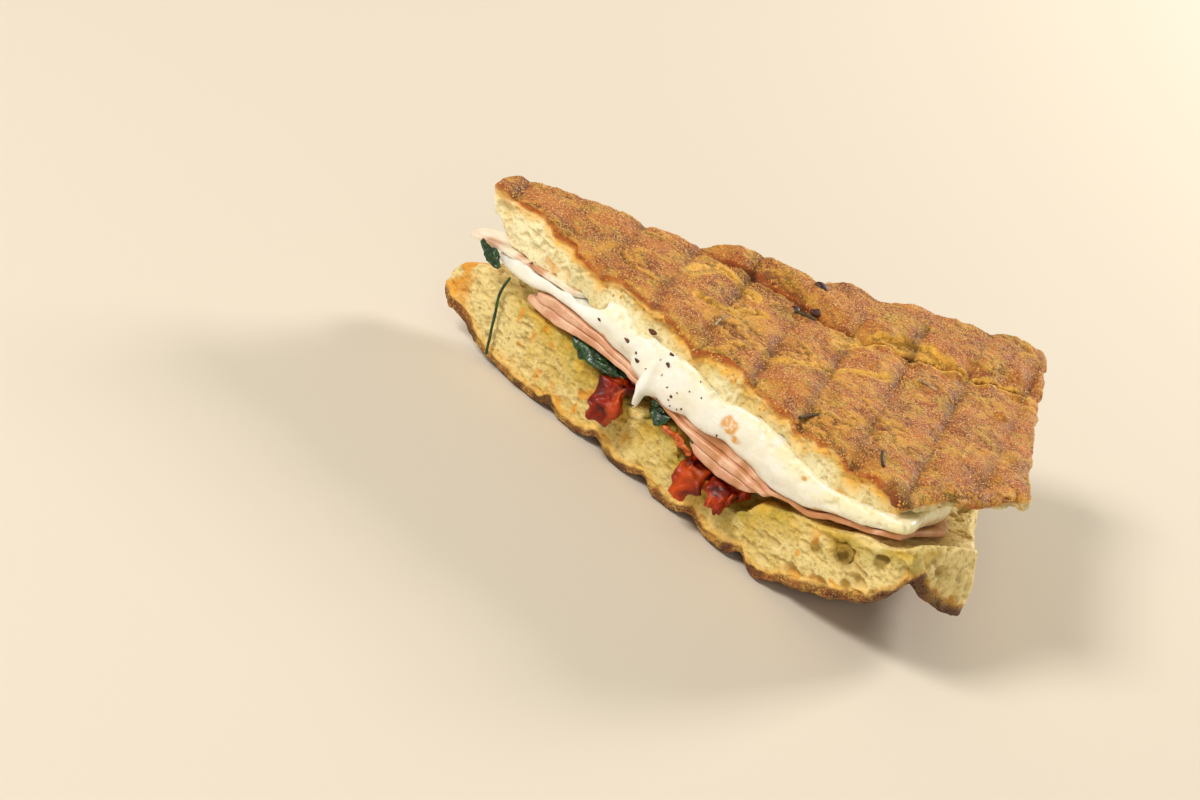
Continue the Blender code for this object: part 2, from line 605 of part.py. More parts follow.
def make_tomato(name, x, height, width, length, seed, parts):
    """A leathery strip that comes out of the filling and hangs down over the cut."""
    arc = TOMATO_BEND * math.pi / 2.0
    mesh = bmesh.new()
    bmesh.ops.create_grid(mesh, x_segments=5, y_segments=8, size=0.5)
    for vertex in mesh.verts:
        across = vertex.co.x
        run = (0.5 - vertex.co.y) * length
        if run < TOMATO_INSIDE:
            y, z = TOMATO_INSIDE - run, height
        elif run < TOMATO_INSIDE + arc:
            angle = (run - TOMATO_INSIDE) / TOMATO_BEND
            y, z = -TOMATO_BEND * math.sin(angle), height - TOMATO_BEND * (1.0 - math.cos(angle))
        else:
            y, z = -TOMATO_BEND, height - TOMATO_BEND - (run - TOMATO_INSIDE - arc)
        y -= TOMATO_FORWARD
        taper = 1.0 - 0.35 * ease((run / length - 0.55) / 0.45) - 0.15 * ease(1.0 - run / 5.0)
        side = width * across * taper
        rough = unevenness(side + seed * 9.0, run, 4.0, 1.0, seed)
        hanging = ease((run - TOMATO_INSIDE) / arc)
        mesh_x = x + side + 0.6 * hanging * math.sin(0.5 * run + seed)
        vertex.co = (mesh_x, y - (0.7 + rough) * hanging, z + 0.3 * rough * (1.0 - hanging))
    bmesh.ops.triangulate(mesh, faces=mesh.faces[:])
    bmesh.ops.transform(mesh, matrix=Matrix.Scale(MILLIMETRE, 4), verts=mesh.verts[:])
    data = bpy.data.meshes.new(name)
    mesh.to_mesh(data)
    mesh.free()
    data.materials.append(material(name, COLOURS["tomato"], 0.3))
    piece = bpy.data.objects.new(name, data)
    parts.objects.link(piece)
    shell = piece.modifiers.new("strip thickness", "SOLIDIFY")
    shell.thickness = TOMATO_THICK * MILLIMETRE
    shell.offset = 0.0
    return piece


def centre_on_floor(parts):
    """Moves every mesh so that the origin is under the middle of the sandwich's box."""
    bpy.context.view_layer.update()
    corners = []
    graph = bpy.context.evaluated_depsgraph_get()
    for piece in parts.objects:
        seen = piece.evaluated_get(graph).to_mesh()
        corners += [vertex.co.copy() for vertex in seen.vertices]
        piece.evaluated_get(graph).to_mesh_clear()
    low = Vector([min(point[axis] for point in corners) for axis in range(3)])
    high = Vector([max(point[axis] for point in corners) for axis in range(3)])
    shift = Vector((-0.5 * (low.x + high.x), -0.5 * (low.y + high.y), -low.z))
    for piece in parts.objects:
        piece.data.transform(Matrix.Translation(shift))
    print("tip of the cut lies at", [round(value / MILLIMETRE, 2) for value in shift], "mm")
    print("size", [round(value / MILLIMETRE, 2) for value in high - low], "mm")


def main():
    clear_scene()
    parts = collection("panini half")
    cutters = collection("cutters")
    toppings = collection("fused toppings")
    make_bottom_bread(parts, cutters)
    make_top_bread(parts, toppings)
    make_cheese(parts, toppings)
    make_meat(parts)
    make_spinach(parts)
    for seed, (name, (x, height, width, length)) in enumerate(TOMATOES.items()):
        make_tomato(name, x, height, width, length, seed + 1.0, parts)
    centre_on_floor(parts)


main()
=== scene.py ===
# %% [markdown]
# # Half a pressed panini, dressed for the camera
# The frame holds the solids: two thick slices of bread, melted cheese, ham, a thin slice of
# turkey, spinach and strips of dried tomato. They have the right sizes and places, but plain
# faces. Each cell below takes one of them, gives it the fine surface of real food, and then a
# material. Nothing is moved: a piece that replaces a solid stays in its place.

from contextlib import contextmanager
import itertools
import math

import bmesh
import bpy
import numpy as np
from mathutils import Matrix, Vector
from mathutils.bvhtree import BVHTree


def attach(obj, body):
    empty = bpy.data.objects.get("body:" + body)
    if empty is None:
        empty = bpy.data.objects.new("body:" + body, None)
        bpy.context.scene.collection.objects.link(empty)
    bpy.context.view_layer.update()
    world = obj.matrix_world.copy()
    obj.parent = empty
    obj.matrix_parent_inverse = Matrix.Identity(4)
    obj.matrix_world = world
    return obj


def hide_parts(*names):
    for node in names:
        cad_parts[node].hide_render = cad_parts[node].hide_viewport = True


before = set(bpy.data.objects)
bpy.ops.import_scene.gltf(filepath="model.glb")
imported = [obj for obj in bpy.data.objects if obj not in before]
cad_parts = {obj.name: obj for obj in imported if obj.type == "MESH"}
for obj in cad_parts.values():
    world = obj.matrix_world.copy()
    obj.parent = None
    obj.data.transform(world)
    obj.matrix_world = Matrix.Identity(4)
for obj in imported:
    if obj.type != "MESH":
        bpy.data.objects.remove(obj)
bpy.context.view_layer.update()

# %% [markdown]
# ## Millimetres from the tip of the cut
# A sandwich is easier to think of in millimetres, measured from the pointed tip of its cut face:
# x runs along the cut, y goes into the bread and z is the height. The frame is in metres with
# its origin under the middle, so two small helpers turn one into the other.

# %% Points in millimetres
MILLIMETRE = 0.001
TIP = np.array([-70.6, -45.6, 0.0])
MERGE = 1.0e-6


def points_of(mesh):
    flat = np.empty(3 * len(mesh.vertices))
    mesh.vertices.foreach_get("co", flat)
    return flat.reshape(-1, 3) / MILLIMETRE - TIP


def skin_of(piece):
    """The points of a piece in millimetres from the tip, and its normals."""
    return points_of(piece.data), normals_of(piece.data)


def put_points(mesh, points):
    mesh.vertices.foreach_set("co", ((points + TIP) * MILLIMETRE).ravel())
    mesh.update()


def normals_of(mesh):
    flat = np.empty(3 * len(mesh.vertices))
    mesh.vertex_normals.foreach_get("vector", flat)
    return flat.reshape(-1, 3)


def in_frame(x, y, z):
    """A place given in millimetres from the tip, in the frame's metres."""
    return Vector((np.array([x, y, z]) + TIP) * MILLIMETRE)


print("tip of the cut in the frame:", [round(value, 4) for value in in_frame(0, 0, 0)])

# %% [markdown]
# ## Noise and bubbles as numbers
# Bread crumb is a foam: bubbles of many sizes, cut open by the knife. Blender's texture nodes
# can paint that, but only real holes catch the light at their rims. So the holes are worked out
# here for every point of a mesh at once. Each cell of a grid draws its own repeatable random
# numbers, which makes the result the same on every run.

# %% Noise and bubbles
def cell_random(cells, seed):
    mixed = (cells[:, 0] * 73856093) ^ (cells[:, 1] * 19349663) ^ (cells[:, 2] * 83492791)
    mixed = (mixed ^ (seed * 7919 + 104729)) & 0x7FFFFFFF
    mixed = (mixed ^ (mixed >> 13)) * 1274126177 & 0x7FFFFFFF
    mixed = (mixed ^ (mixed >> 16)) & 0xFFFFFF
    return mixed / 0xFFFFFF


def soft_noise(points, size, seed):
    """Smooth noise between -1 and 1, with features about as wide as size."""
    place = points / size
    cell = np.floor(place).astype(np.int64)
    share = place - cell
    share = share * share * (3.0 - 2.0 * share)
    total = np.zeros(len(points))
    for corner in itertools.product((0, 1), repeat=3):
        weight = np.prod(np.where(np.array(corner) == 1, share, 1.0 - share), axis=1)
        total += weight * cell_random(cell + corner, seed)
    return 2.0 * total - 1.0


def bubbles(points, size, fill, seed):
    """How deep a point lies in the nearest bubble, 0 outside, 1 at the middle of a big one."""
    place = points / size
    cell = np.floor(place).astype(np.int64)
    deepest = np.zeros(len(points))
    for step in itertools.product((-1, 0, 1), repeat=3):
        near = cell + step
        centre = near + np.stack([cell_random(near, seed + axis) for axis in range(3)], axis=1)
        radius = fill * (0.3 + 0.7 * cell_random(near, seed + 3))
        away = np.linalg.norm(place - centre, axis=1) / radius
        deepest = np.maximum(deepest, radius / fill * np.sqrt(np.clip(1.0 - away ** 2, 0.0, 1.0)))
    return deepest


def ramp(values, start, end):
    """0 before start, 1 after end, and a soft step between them."""
    share = np.clip((values - start) / (end - start), 0.0, 1.0)
    return share * share * (3.0 - 2.0 * share)


def hump(values, width, power=2):
    """1 where values is 0, falling softly to 0 on both sides of it."""
    return np.exp(-(values / width) ** power)


def path_distance(points, path):
    """Distance, seen from above, to a path of (x, y) corners."""
    best = np.full(len(points), 1.0e9)
    for start, end in zip(path, path[1:]):
        start, along = np.array(start, float), np.subtract(end, start).astype(float)
        share = np.clip((points[:, :2] - start) @ along / (along @ along), 0.0, 1.0)
        away = np.linalg.norm(points[:, :2] - start - share[:, None] * along, axis=1)
        best = np.minimum(best, away)
    return best


samples = np.array([[0.0, 0.0, 0.0], [1.0, 1.0, 1.0], [2.0, 0.0, 1.0]])
print("bubbles at three points:", bubbles(samples, 2.0, 0.5, 1).round(2))

# %% [markdown]
# ## From solid to fine skin
# A CAD node's mesh is loose triangles, so a copy is merged first. A voxel remesh then gives it
# an even skin of squares about half a millimetre wide, which is fine enough to push holes and
# cracks into. Thin slices would lose their edges in a remesh, so those are only subdivided.

# %% Skins
BREAD_VOXEL = 0.55
LOWER_VOXEL = 0.6
CHEESE_VOXEL = 0.5
TOMATO_VOXEL = 0.3
LEAF_VOXEL = 0.22
SOFTEN_FACTOR = 0.5
FRONT_REACH = 2.0
HOLE_DEPTH = 4.5
INSET = 1.6
ABOVE_ALL, BELOW_ALL = 100.0, -50.0


def new_piece(name, mesh):
    piece = bpy.data.objects.new(name, mesh)
    bpy.context.scene.collection.objects.link(piece)
    return piece


@contextmanager
def edited(mesh, source=None):
    """A mesh opened for editing and written back at the end; it starts as a copy of the source."""
    build = bmesh.new()
    build.from_mesh(source or mesh)
    yield build
    build.to_mesh(mesh)
    build.free()


def merged_copy(node, name):
    mesh = bpy.data.meshes.new(name)
    with edited(mesh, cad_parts[node].data) as build:
        bmesh.ops.remove_doubles(build, verts=build.verts[:], dist=MERGE)
    return new_piece(name, mesh)


def apply_modifiers(piece):
    graph = bpy.context.evaluated_depsgraph_get()
    mesh = bpy.data.meshes.new_from_object(piece.evaluated_get(graph))
    piece.modifiers.clear()
    old = piece.data
    piece.data = mesh
    bpy.data.meshes.remove(old)


def soften(piece, rounds):
    smooth = piece.modifiers.new("soften", "SMOOTH")
    smooth.factor = SOFTEN_FACTOR
    smooth.iterations = rounds


def voxel_skin(piece, voxel, rounds):
    remesh = piece.modifiers.new("even skin", "REMESH")
    remesh.mode = "VOXEL"
    remesh.voxel_size = voxel * MILLIMETRE
    soften(piece, rounds)
    apply_modifiers(piece)


def divided_skin(piece, levels, rounds):
    divide = piece.modifiers.new("finer", "SUBSURF")
    divide.subdivision_type = "SIMPLE"
    divide.levels = levels
    divide.render_levels = levels
    soften(piece, rounds)
    apply_modifiers(piece)


def finer_front(piece):
    """Halves the squares of the cut face, where the camera looks closest."""
    limit = in_frame(0.0, FRONT_REACH, 0.0).y
    with edited(piece.data) as build:
        build.normal_update()
        faces = [face for face in build.faces
                 if face.calc_center_median().y < limit and face.normal.y < -0.3]
        edges = {edge for face in faces for edge in face.edges}
        bmesh.ops.subdivide_edges(build, edges=list(edges), cuts=1, use_grid_fill=True)


def rounded_holes(piece, holes, reach, rounds):
    """Smooths the rims of holes in the cut face, each given by x, z and radius."""
    with edited(piece.data) as build:
        for x, z, radius in holes:
            middle = in_frame(x, HOLE_DEPTH, z)
            limit = reach * radius * MILLIMETRE
            near = [vert for vert in build.verts if vert.co.y < middle.y
                    and math.hypot(vert.co.x - middle.x, vert.co.z - middle.z) < limit]
            for _ in range(rounds):
                bmesh.ops.smooth_vert(build, verts=near, factor=SOFTEN_FACTOR, use_axis_x=True,
                                      use_axis_y=True, use_axis_z=True)


def store(mesh, name, values):
    if name in mesh.attributes:
        mesh.attributes.remove(mesh.attributes[name])
    attribute = mesh.attributes.new(name, "FLOAT", "POINT")
    attribute.data.foreach_set("value", np.clip(values, 0.0, 1.0).astype(np.float32))


def store_all(piece, **masks):
    for name, values in masks.items():
        store(piece.data, name, values)


def triangles(piece):
    return sum(len(face.vertices) - 2 for face in piece.data.polygons)


def pulled_in(points, normals):
    """Points moved level into the piece, so that a ray past a standing face doesn't graze it."""
    return points - INSET * normals * np.array([1.0, 1.0, 0.0])


def heights_on(mesh, points, from_above):
    """Height of a mesh's upper or lower surface over or under each point."""
    corners = [tuple(point) for point in points_of(mesh)]
    tree = BVHTree.FromPolygons(corners, [tuple(face.vertices) for face in mesh.polygons])
    start, down = (ABOVE_ALL, -1.0) if from_above else (BELOW_ALL, 1.0)
    heights = np.empty(len(points))
    for number, (x, y, z) in enumerate(points):
        hit = tree.ray_cast(Vector((x, y, start)), Vector((0.0, 0.0, down)))[0]
        if hit is None:
            hit = tree.find_nearest(Vector((x, y, start)))[0]
        heights[number] = hit.z
    return heights


def surface_heights(node, points, from_above):
    return heights_on(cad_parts[node].data, points, from_above)


def finish_piece(piece, material, slot, *nodes):
    piece.data.materials.clear()
    piece.data.materials.append(material)
    piece.data.shade_smooth()
    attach(piece, "root")
    if nodes:
        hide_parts(*nodes)
    print(piece.name, triangles(piece), "triangles")


# %% [markdown]
# ## Building materials
# A procedural material is a small network of nodes. `add` places one node and fills its
# sockets, with numbers or with links from other nodes. Colours are written as the 0 to 255
# values of a colour picker and turned into the linear values that a shader expects.

# %% Node helpers
def colour(red, green, blue):
    linear = [(value / 255.0) ** 2.2 for value in (red, green, blue)]
    return (*linear, 1.0)


def add(tree, kind, inputs=None, **settings):
    made = tree.nodes.new(kind)
    for name, value in settings.items():
        setattr(made, name, value)
    for name, value in (inputs or {}).items():
        if isinstance(value, bpy.types.NodeSocket):
            tree.links.new(value, made.inputs[name])
        else:
            made.inputs[name].default_value = value
    return made


def maths(tree, operation, first, second=0.0, clamp=False):
    return add(tree, "ShaderNodeMath", {0: first, 1: second}, operation=operation, use_clamp=clamp).outputs[0]


def times(tree, first, second):
    return maths(tree, "MULTIPLY", first, second)


def inverse(tree, value):
    return maths(tree, "SUBTRACT", 1.0, value)


def mix_colour(tree, share, first, second):
    return add(tree, "ShaderNodeMix", {0: share, 6: first, 7: second}, data_type="RGBA").outputs[2]


def laid_over(tree, shade, *layers):
    """A shade with picked colours over it, each layer a mask, its strength and the colour."""
    for mask, strength, over in layers:
        share = mask if strength == 1.0 else times(tree, mask, strength)
        shade = mix_colour(tree, share, shade, colour(*over))
    return shade


def step_mask(tree, value, start, end):
    """1 at or past end, 0 at or before start."""
    return add(tree, "ShaderNodeMapRange", {"Value": value, "From Min": start, "From Max": end}).outputs[0]


def attribute(tree, name):
    return add(tree, "ShaderNodeAttribute", attribute_name=name).outputs["Fac"]


def object_place(tree, scale):
    """Object coordinates in millimetres, stretched by scale."""
    coordinates = add(tree, "ShaderNodeTexCoord").outputs["Object"]
    factor = tuple(value / MILLIMETRE for value in scale)
    return add(tree, "ShaderNodeMapping", {"Vector": coordinates, "Scale": factor}).outputs[0]


def cloud(tree, stretch, scale, detail, **more):
    """Soft noise over the stretched object coordinates; more fills other sockets of the texture."""
    inputs = {"Vector": object_place(tree, stretch), "Scale": scale, "Detail": detail, **more}
    return add(tree, "ShaderNodeTexNoise", inputs).outputs["Fac"]


def new_group(name, inputs, outputs):
    group = bpy.data.node_groups.new(name, "ShaderNodeTree")
    for label, value in inputs.items():
        socket = group.interface.new_socket(label, in_out="INPUT", socket_type="NodeSocketFloat")
        socket.default_value = value
    for label in outputs:
        group.interface.new_socket(label, in_out="OUTPUT", socket_type="NodeSocketFloat")
    start = group.nodes.new("NodeGroupInput")
    end = group.nodes.new("NodeGroupOutput")
    return group, start.outputs, end.inputs


def linked_material(tree, shader, shade, size, wet, dry):
    """Gives a shader its colour and an uneven sheen."""
    tree.links.new(shade, shader.inputs["Base Color"])
    sheen = place_group(tree, SHEEN, Size=size, Wet=wet, Dry=dry)["Roughness"]
    tree.links.new(sheen, shader.inputs["Roughness"])


def place_group(tree, group, **values):
    made = tree.nodes.new("ShaderNodeGroup")
    made.node_tree = group
    for label, value in values.items():
        made.inputs[label].default_value = value
    return made.outputs


def new_material(name, roughness, **settings):
    made = bpy.data.materials.new(name)
    made.use_nodes = True
    shader = made.node_tree.nodes["Principled BSDF"]
    shader.inputs["Roughness"].default_value = roughness
    for label, value in settings.items():
        shader.inputs[label.replace("_", " ")].default_value = value
    return made, made.node_tree, shader


def bump(tree, shader, height, strength, distance):
    made = add(tree, "ShaderNodeBump", {"Strength": strength, "Distance": distance * MILLIMETRE,
                                        "Height": height})
    tree.links.new(made.outputs[0], shader.inputs["Normal"])


print("a picked colour in linear values:", [round(value, 3) for value in colour(178, 112, 64)])

# %% [markdown]
# ## Three effects that several foods share
# Food is never one flat colour. *Patches* gives wide, soft changes, for browning and for
# marbling. *Speckle* picks single grains, for semolina on the crust and pores in the crumb.
# *Sheen* varies the roughness, because fat and water lie unevenly. Each is a node group, so a
# material only sets its sizes.

# %% Shared node groups
EVEN = (1.0, 1.0, 1.0)


def patches_group():
    group, start, end = new_group("patches", {"Size": 8.0, "Low": 0.4, "High": 0.6}, ["Mask"])
    scale = maths(group, "DIVIDE", 1.0, start["Size"])
    patch = cloud(group, EVEN, scale, 4.0, Roughness=0.6, Distortion=0.4)
    group.links.new(step_mask(group, patch, start["Low"], start["High"]), end["Mask"])
    return group


def speckle_group():
    group, start, end = new_group("speckle", {"Size": 0.6, "Share": 0.5, "Radius": 0.3},
                                  ["Mask", "Height"])
    place = object_place(group, EVEN)
    scale = maths(group, "DIVIDE", 1.0, start["Size"])
    wobble = add(group, "ShaderNodeTexNoise", {"Vector": place, "Scale": scale, "Detail": 2.0})
    centred = add(group, "ShaderNodeVectorMath", {0: wobble.outputs["Color"], 1: (0.5, 0.5, 0.5)},
                  operation="SUBTRACT")
    shift = add(group, "ShaderNodeVectorMath", {0: centred.outputs[0], "Scale": start["Size"]},
                operation="SCALE")
    strayed = add(group, "ShaderNodeVectorMath", {0: place, 1: shift.outputs[0]}, operation="ADD")
    cells = add(group, "ShaderNodeTexVoronoi", {"Vector": strayed.outputs[0], "Scale": scale})
    pick = add(group, "ShaderNodeSeparateColor", {0: cells.outputs["Color"]})
    chosen = maths(group, "LESS_THAN", pick.outputs[0], start["Share"])
    away = maths(group, "DIVIDE", cells.outputs["Distance"], start["Radius"])
    height = times(group, maths(group, "SUBTRACT", 1.0, away, clamp=True), chosen)
    group.links.new(height, end["Height"])
    group.links.new(step_mask(group, height, 0.0, 0.45), end["Mask"])
    return group


def sheen_group():
    group, start, end = new_group("sheen", {"Size": 3.0, "Wet": 0.3, "Dry": 0.6}, ["Roughness"])
    wetness = cloud(group, EVEN, maths(group, "DIVIDE", 1.0, start["Size"]), 3.0)
    spread = {"Value": wetness, "From Min": 0.35, "From Max": 0.65, "To Min": start["Wet"],
              "To Max": start["Dry"]}
    group.links.new(add(group, "ShaderNodeMapRange", spread).outputs[0], end["Roughness"])
    return group


PATCHES = patches_group()
SPECKLE = speckle_group()
SHEEN = sheen_group()


def patches(tree, size, low, high):
    return place_group(tree, PATCHES, Size=size, Low=low, High=high)["Mask"]


def speckle(tree, size, share, radius):
    return place_group(tree, SPECKLE, Size=size, Share=share, Radius=radius)


print("shared effects:", PATCHES.name, SPECKLE.name, SHEEN.name)

# %% [markdown]
# ## Bread
# One slice shows three things: the browned crust that the grill pressed, the golden fringe where
# crust turns into crumb, and the pale open crumb. They share one material, and numbers stored on
# the mesh say which is where: `crust`, `gold`, `orange`, `toast` and `tear` for the crust, and
# `pit`, `stain`, `spot` and `pale` for the crumb. `toast` is browning together with painted shade
# in the grooves, the fold's crease and the cracks; `pit` is painted shade in the crumb's bubbles;
# `stain` is herb oil, and painted shade inside the big holes of the lower slice. The wide shapes
# are in those numbers, and the grains and pores too fine for the mesh come from the node groups;
# the pores are darkened with painted shade.

# %% Bread material
CRUST = {"base": (178, 98, 56), "dark": (124, 64, 40), "light": (240, 156, 64), "grain": (255, 208, 118),
         "speck": (74, 36, 22), "crack": (255, 202, 88)}
# The burnt colour is browning and also painted shade: it darkens the cracks and the shade in the toast
# number.
FRINGE = {"gold": (252, 188, 72), "orange": (184, 88, 26), "burnt_and_shade": (70, 34, 20)}
# Each crumb's pore colour is painted shade, laid into the bubbles and pores of the crumb.
UPPER_CRUMB = {"base": (230, 208, 138), "light": (248, 238, 192), "pore_shade": (196, 160, 84)}
LOWER_CRUMB = {"base": (218, 190, 106), "light": (238, 216, 146), "pore_shade": (162, 124, 50)}
STAIN = {"oil": (208, 168, 40), "green": (160, 142, 30), "spot": (224, 150, 36)}


def crust_colour(tree, palette):
    broad = patches(tree, 11.0, 0.44, 0.6)
    middle = patches(tree, 3.6, 0.48, 0.66)
    fine = patches(tree, 0.7, 0.45, 0.68)
    grain = speckle(tree, 0.5, 0.5, 0.5)
    speck = speckle(tree, 0.9, 0.16, 0.4)
    shade = laid_over(tree, colour(*palette["base"]), (broad, 1.0, palette["dark"]),
                      (middle, 0.4, palette["light"]), (fine, 0.7, palette["light"]),
                      (grain["Mask"], 0.7, palette["grain"]), (speck["Mask"], 0.8, palette["speck"]))
    height = maths(tree, "ADD", grain["Height"], fine)
    return shade, maths(tree, "SUBTRACT", height, speck["Height"])


def crack_lines(tree):
    """Wavy cracks where a stretched cloud crosses its middle value, and their pale sides."""
    lines = []
    for stretch, scale in (((0.09, 0.22, 0.2), 1.0), ((0.12, 0.3, 0.2), 1.6)):
        wave = cloud(tree, stretch, scale, 6.0, Roughness=0.55, Distortion=0.3)
        lines.append(maths(tree, "ABSOLUTE", maths(tree, "SUBTRACT", wave, 0.5)))
    nearest = maths(tree, "MINIMUM", *lines)
    come_and_go = patches(tree, 7.0, 0.51, 0.6)
    strayed = times(tree, maths(tree, "SUBTRACT", cloud(tree, EVEN, 1.2, 4.0), 0.5), 0.7)
    tear = maths(tree, "ADD", attribute(tree, "tear"), strayed)
    found = []
    for near, far, low, high in ((0.003, 0.012, 0.86, 0.92), (0.012, 0.06, 0.5, 0.66)):
        wavy = times(tree, inverse(tree, step_mask(tree, nearest, near, far)), come_and_go)
        found.append(maths(tree, "MAXIMUM", wavy, step_mask(tree, tear, low, high)))
    return found


def crumb_colour(tree, crumb):
    broad = patches(tree, 3.0, 0.38, 0.62)
    broad = maths(tree, "ADD", broad, attribute(tree, "pale"), clamp=True)
    pores = speckle(tree, 1.5, 0.55, 0.55)["Height"]
    fine = speckle(tree, 0.8, 0.6, 0.6)["Height"]
    # The pores, the fine speckle and the pit number darken the crumb with painted shade in its bubbles.
    shade = laid_over(tree, colour(*crumb["base"]), (broad, 1.0, crumb["light"]),
                      (pores, 0.55, crumb["pore_shade"]), (fine, 0.4, crumb["pore_shade"]),
                      (attribute(tree, "pit"), 0.8, crumb["pore_shade"]))
    return shade, times(tree, maths(tree, "ADD", pores, times(tree, fine, 0.6)), -0.75)


def stained(tree, shade):
    """Herb oil soaks into the crumb under the filling, yellow with greener patches; in the lower slice the
    same colour is also painted shade inside the big holes.
    """
    greener = patches(tree, 6.0, 0.45, 0.6)
    oil = mix_colour(tree, greener, colour(*STAIN["oil"]), colour(*STAIN["green"]))
    shade = mix_colour(tree, times(tree, attribute(tree, "stain"), 0.8), shade, oil)
    return laid_over(tree, shade, (attribute(tree, "spot"), 1.0, STAIN["spot"]))


def bread_material(name, palette, crumb):
    made, tree, shader = new_material(name, 0.75, Subsurface_Weight=0.12, Subsurface_Scale=0.002,
                                      Subsurface_Radius=(1.0, 0.6, 0.3))
    outside, grain = crust_colour(tree, palette)
    cracks, sides = crack_lines(tree)
    # The cracks are painted dark: painted shade inside them.
    outside = laid_over(tree, outside, (sides, 0.85, palette["crack"]), (cracks, 0.75, FRINGE["burnt_and_shade"]))
    inside, hollows = crumb_colour(tree, crumb)
    crust = attribute(tree, "crust")
    shade = mix_colour(tree, crust, stained(tree, inside), outside)
    breakup = patches(tree, 1.6, 0.3, 0.62)
    gold = times(tree, attribute(tree, "gold"), maths(tree, "ADD", 0.5, breakup, clamp=True))
    # Toast darkens towards the burnt colour: real browning, and painted shade where the mesh stored it.
    shade = laid_over(tree, shade, (gold, 1.0, FRINGE["gold"]),
                      (attribute(tree, "orange"), 1.0, FRINGE["orange"]),
                      (attribute(tree, "toast"), 1.0, FRINGE["burnt_and_shade"]))
    linked_material(tree, shader, shade, 4.0, 0.55, 0.85)
    outer = maths(tree, "SUBTRACT", times(tree, grain, 0.65), times(tree, cracks, 1.2))
    height = add(tree, "ShaderNodeMix", {0: crust, 2: hollows, 3: outer}, data_type="FLOAT").outputs[0]
    bump(tree, shader, height, 0.9, 0.4)
    return made


UNDERSIDE = dict(CRUST, base=(150, 92, 42), dark=(92, 52, 28), light=(196, 132, 60))
TOP_CRUST = bread_material("grilled crust and crumb", CRUST, UPPER_CRUMB)
UNDER_CRUST = bread_material("underside crust and crumb", UNDERSIDE, LOWER_CRUMB)
print("bread materials:", TOP_CRUST.name, UNDER_CRUST.name)

# %% [markdown]
# ### The upper slice
# The crust of the upper slice is what the camera sees most. The grill's ribs left shallow
# grooves that run across it, and where the bread bulged between them it tore: one long fold
# behind the middle and two shorter splits, all golden inside. The front of the crust ends in a
# ragged, orange fringe above the pale crumb.

# %% Upper slice
FOLD = [(39, 34), (50, 40), (63, 41.5), (75, 42), (87, 50), (102, 62), (118, 76)]
SPLITS = [[(77, 12), (81.5, 15), (86, 22), (89.5, 28.5), (93.5, 34.5), (96, 39)],
          [(82, 37), (84, 43), (85, 51), (89, 55), (93.5, 60), (102, 61.5)],
          [(54, 15.5), (64, 19), (65, 26)], [(46, 20), (48, 31), (54, 32), (60, 30)]]
RIB_PITCH, RIB_START, RIB_SLANT = 15.4, 6.7, 0.41
CRUMB_STRETCH = np.array([1.5, 1.2, 0.85])
BLOB_X, BLOB_Y, BLOB_SQUASH = 127.0, 1.5, 1.3


def rib_distance(points):
    run = (points[:, 0] + RIB_SLANT * points[:, 1] - RIB_START) / RIB_PITCH
    return (run - np.round(run)) * RIB_PITCH


def crumb_relief(points, seed, coarse):
    """How far the knife's face falls into bubbles, in millimetres, and how much painted shade they get."""
    stray = np.stack([soft_noise(points, 2.0, seed + axis) for axis in (31, 32, 33)], axis=1)
    place = (points + 0.35 * stray) / CRUMB_STRETCH
    large = bubbles(place, 4.6, 0.5, seed) * coarse
    medium = bubbles(place, 2.4, 0.5, seed + 10)
    small = bubbles(place, 1.3, 0.5, seed + 20)
    relief = np.maximum(1.9 * large, 0.8 * medium) + 0.35 * small
    return relief, 0.75 * np.maximum(np.maximum(large, 0.7 * medium), 0.4 * small)


def crust_roughness(points, seed):
    rough = 0.30 * soft_noise(points, 4.5, seed)
    rough += 0.20 * soft_noise(points, 1.9, seed + 1)
    rough += 0.14 * soft_noise(points, 1.0, seed + 2)
    return rough


top = merged_copy("top_bread", "top_bread_skin")
voxel_skin(top, BREAD_VOXEL, 4)
finer_front(top)
points, normals = skin_of(top)
x, y, z = points.T
probes = pulled_in(points, normals)
depth = surface_heights("top_bread", probes, True) - z
over_roof = z - surface_heights("top_bread", probes, False)
front = ramp(-normals[:, 1], 0.35, 0.75) * ramp(5.0 - y, 0.0, 2.0)
upward = ramp(normals[:, 2], 0.2, 0.6)
edge_noise = soft_noise(points, 3.2, 31) + 0.6 * soft_noise(points, 9.0, 32)
thickness = 1.2 + 0.6 * edge_noise + 0.7 * ramp(x, 30.0, 60.0) * ramp(edge_noise, 0.0, 0.8)
side_band = np.where(front > 0.5, 0.0, 2.4 - 2.0 * ramp(x, 112.0, 122.0))
crust = 1.0 - ramp(depth, thickness + side_band, thickness + side_band + 0.7)
crust = np.maximum(crust, upward * ramp(4.0 - depth, 0.0, 1.0))

wander = np.stack([soft_noise(points, 4.0, seed) + 0.4 * soft_noise(points, 1.6, seed + 1)
                   for seed in (43, 45)], axis=1)
strayed = points.copy()
strayed[:, :2] += 0.9 * wander
fold = path_distance(strayed, FOLD)
split = np.min([path_distance(strayed, path) for path in SPLITS], axis=0)
rib = rib_distance(strayed)
rib_shown = ramp(soft_noise(points * np.array([1.0, 0.6, 1.0]), 9.0, 46), -0.25, 0.35)


def cracks(points, size, seed):
    """Torn lines in the crust: how near a point is to one, and to its lower, golden side."""
    stretched = points * np.array([0.45, 1.3, 1.0])
    cloud = soft_noise(stretched, size, seed) + 0.4 * soft_noise(stretched, size / 2.6, seed + 1)
    cloud += 0.18 * soft_noise(points, size / 6.0, seed + 2)
    shown = ramp(soft_noise(points, 2.0 * size, seed + 3), 0.05, 0.4)
    return shown * hump(cloud, 0.07), shown * hump(cloud - 0.2, 0.16)


def beside_fold(points):
    """Distance behind the long fold, negative in front of it."""
    corners = np.array(FOLD, float)
    return points[:, 1] - np.interp(points[:, 0], corners[:, 0], corners[:, 1])


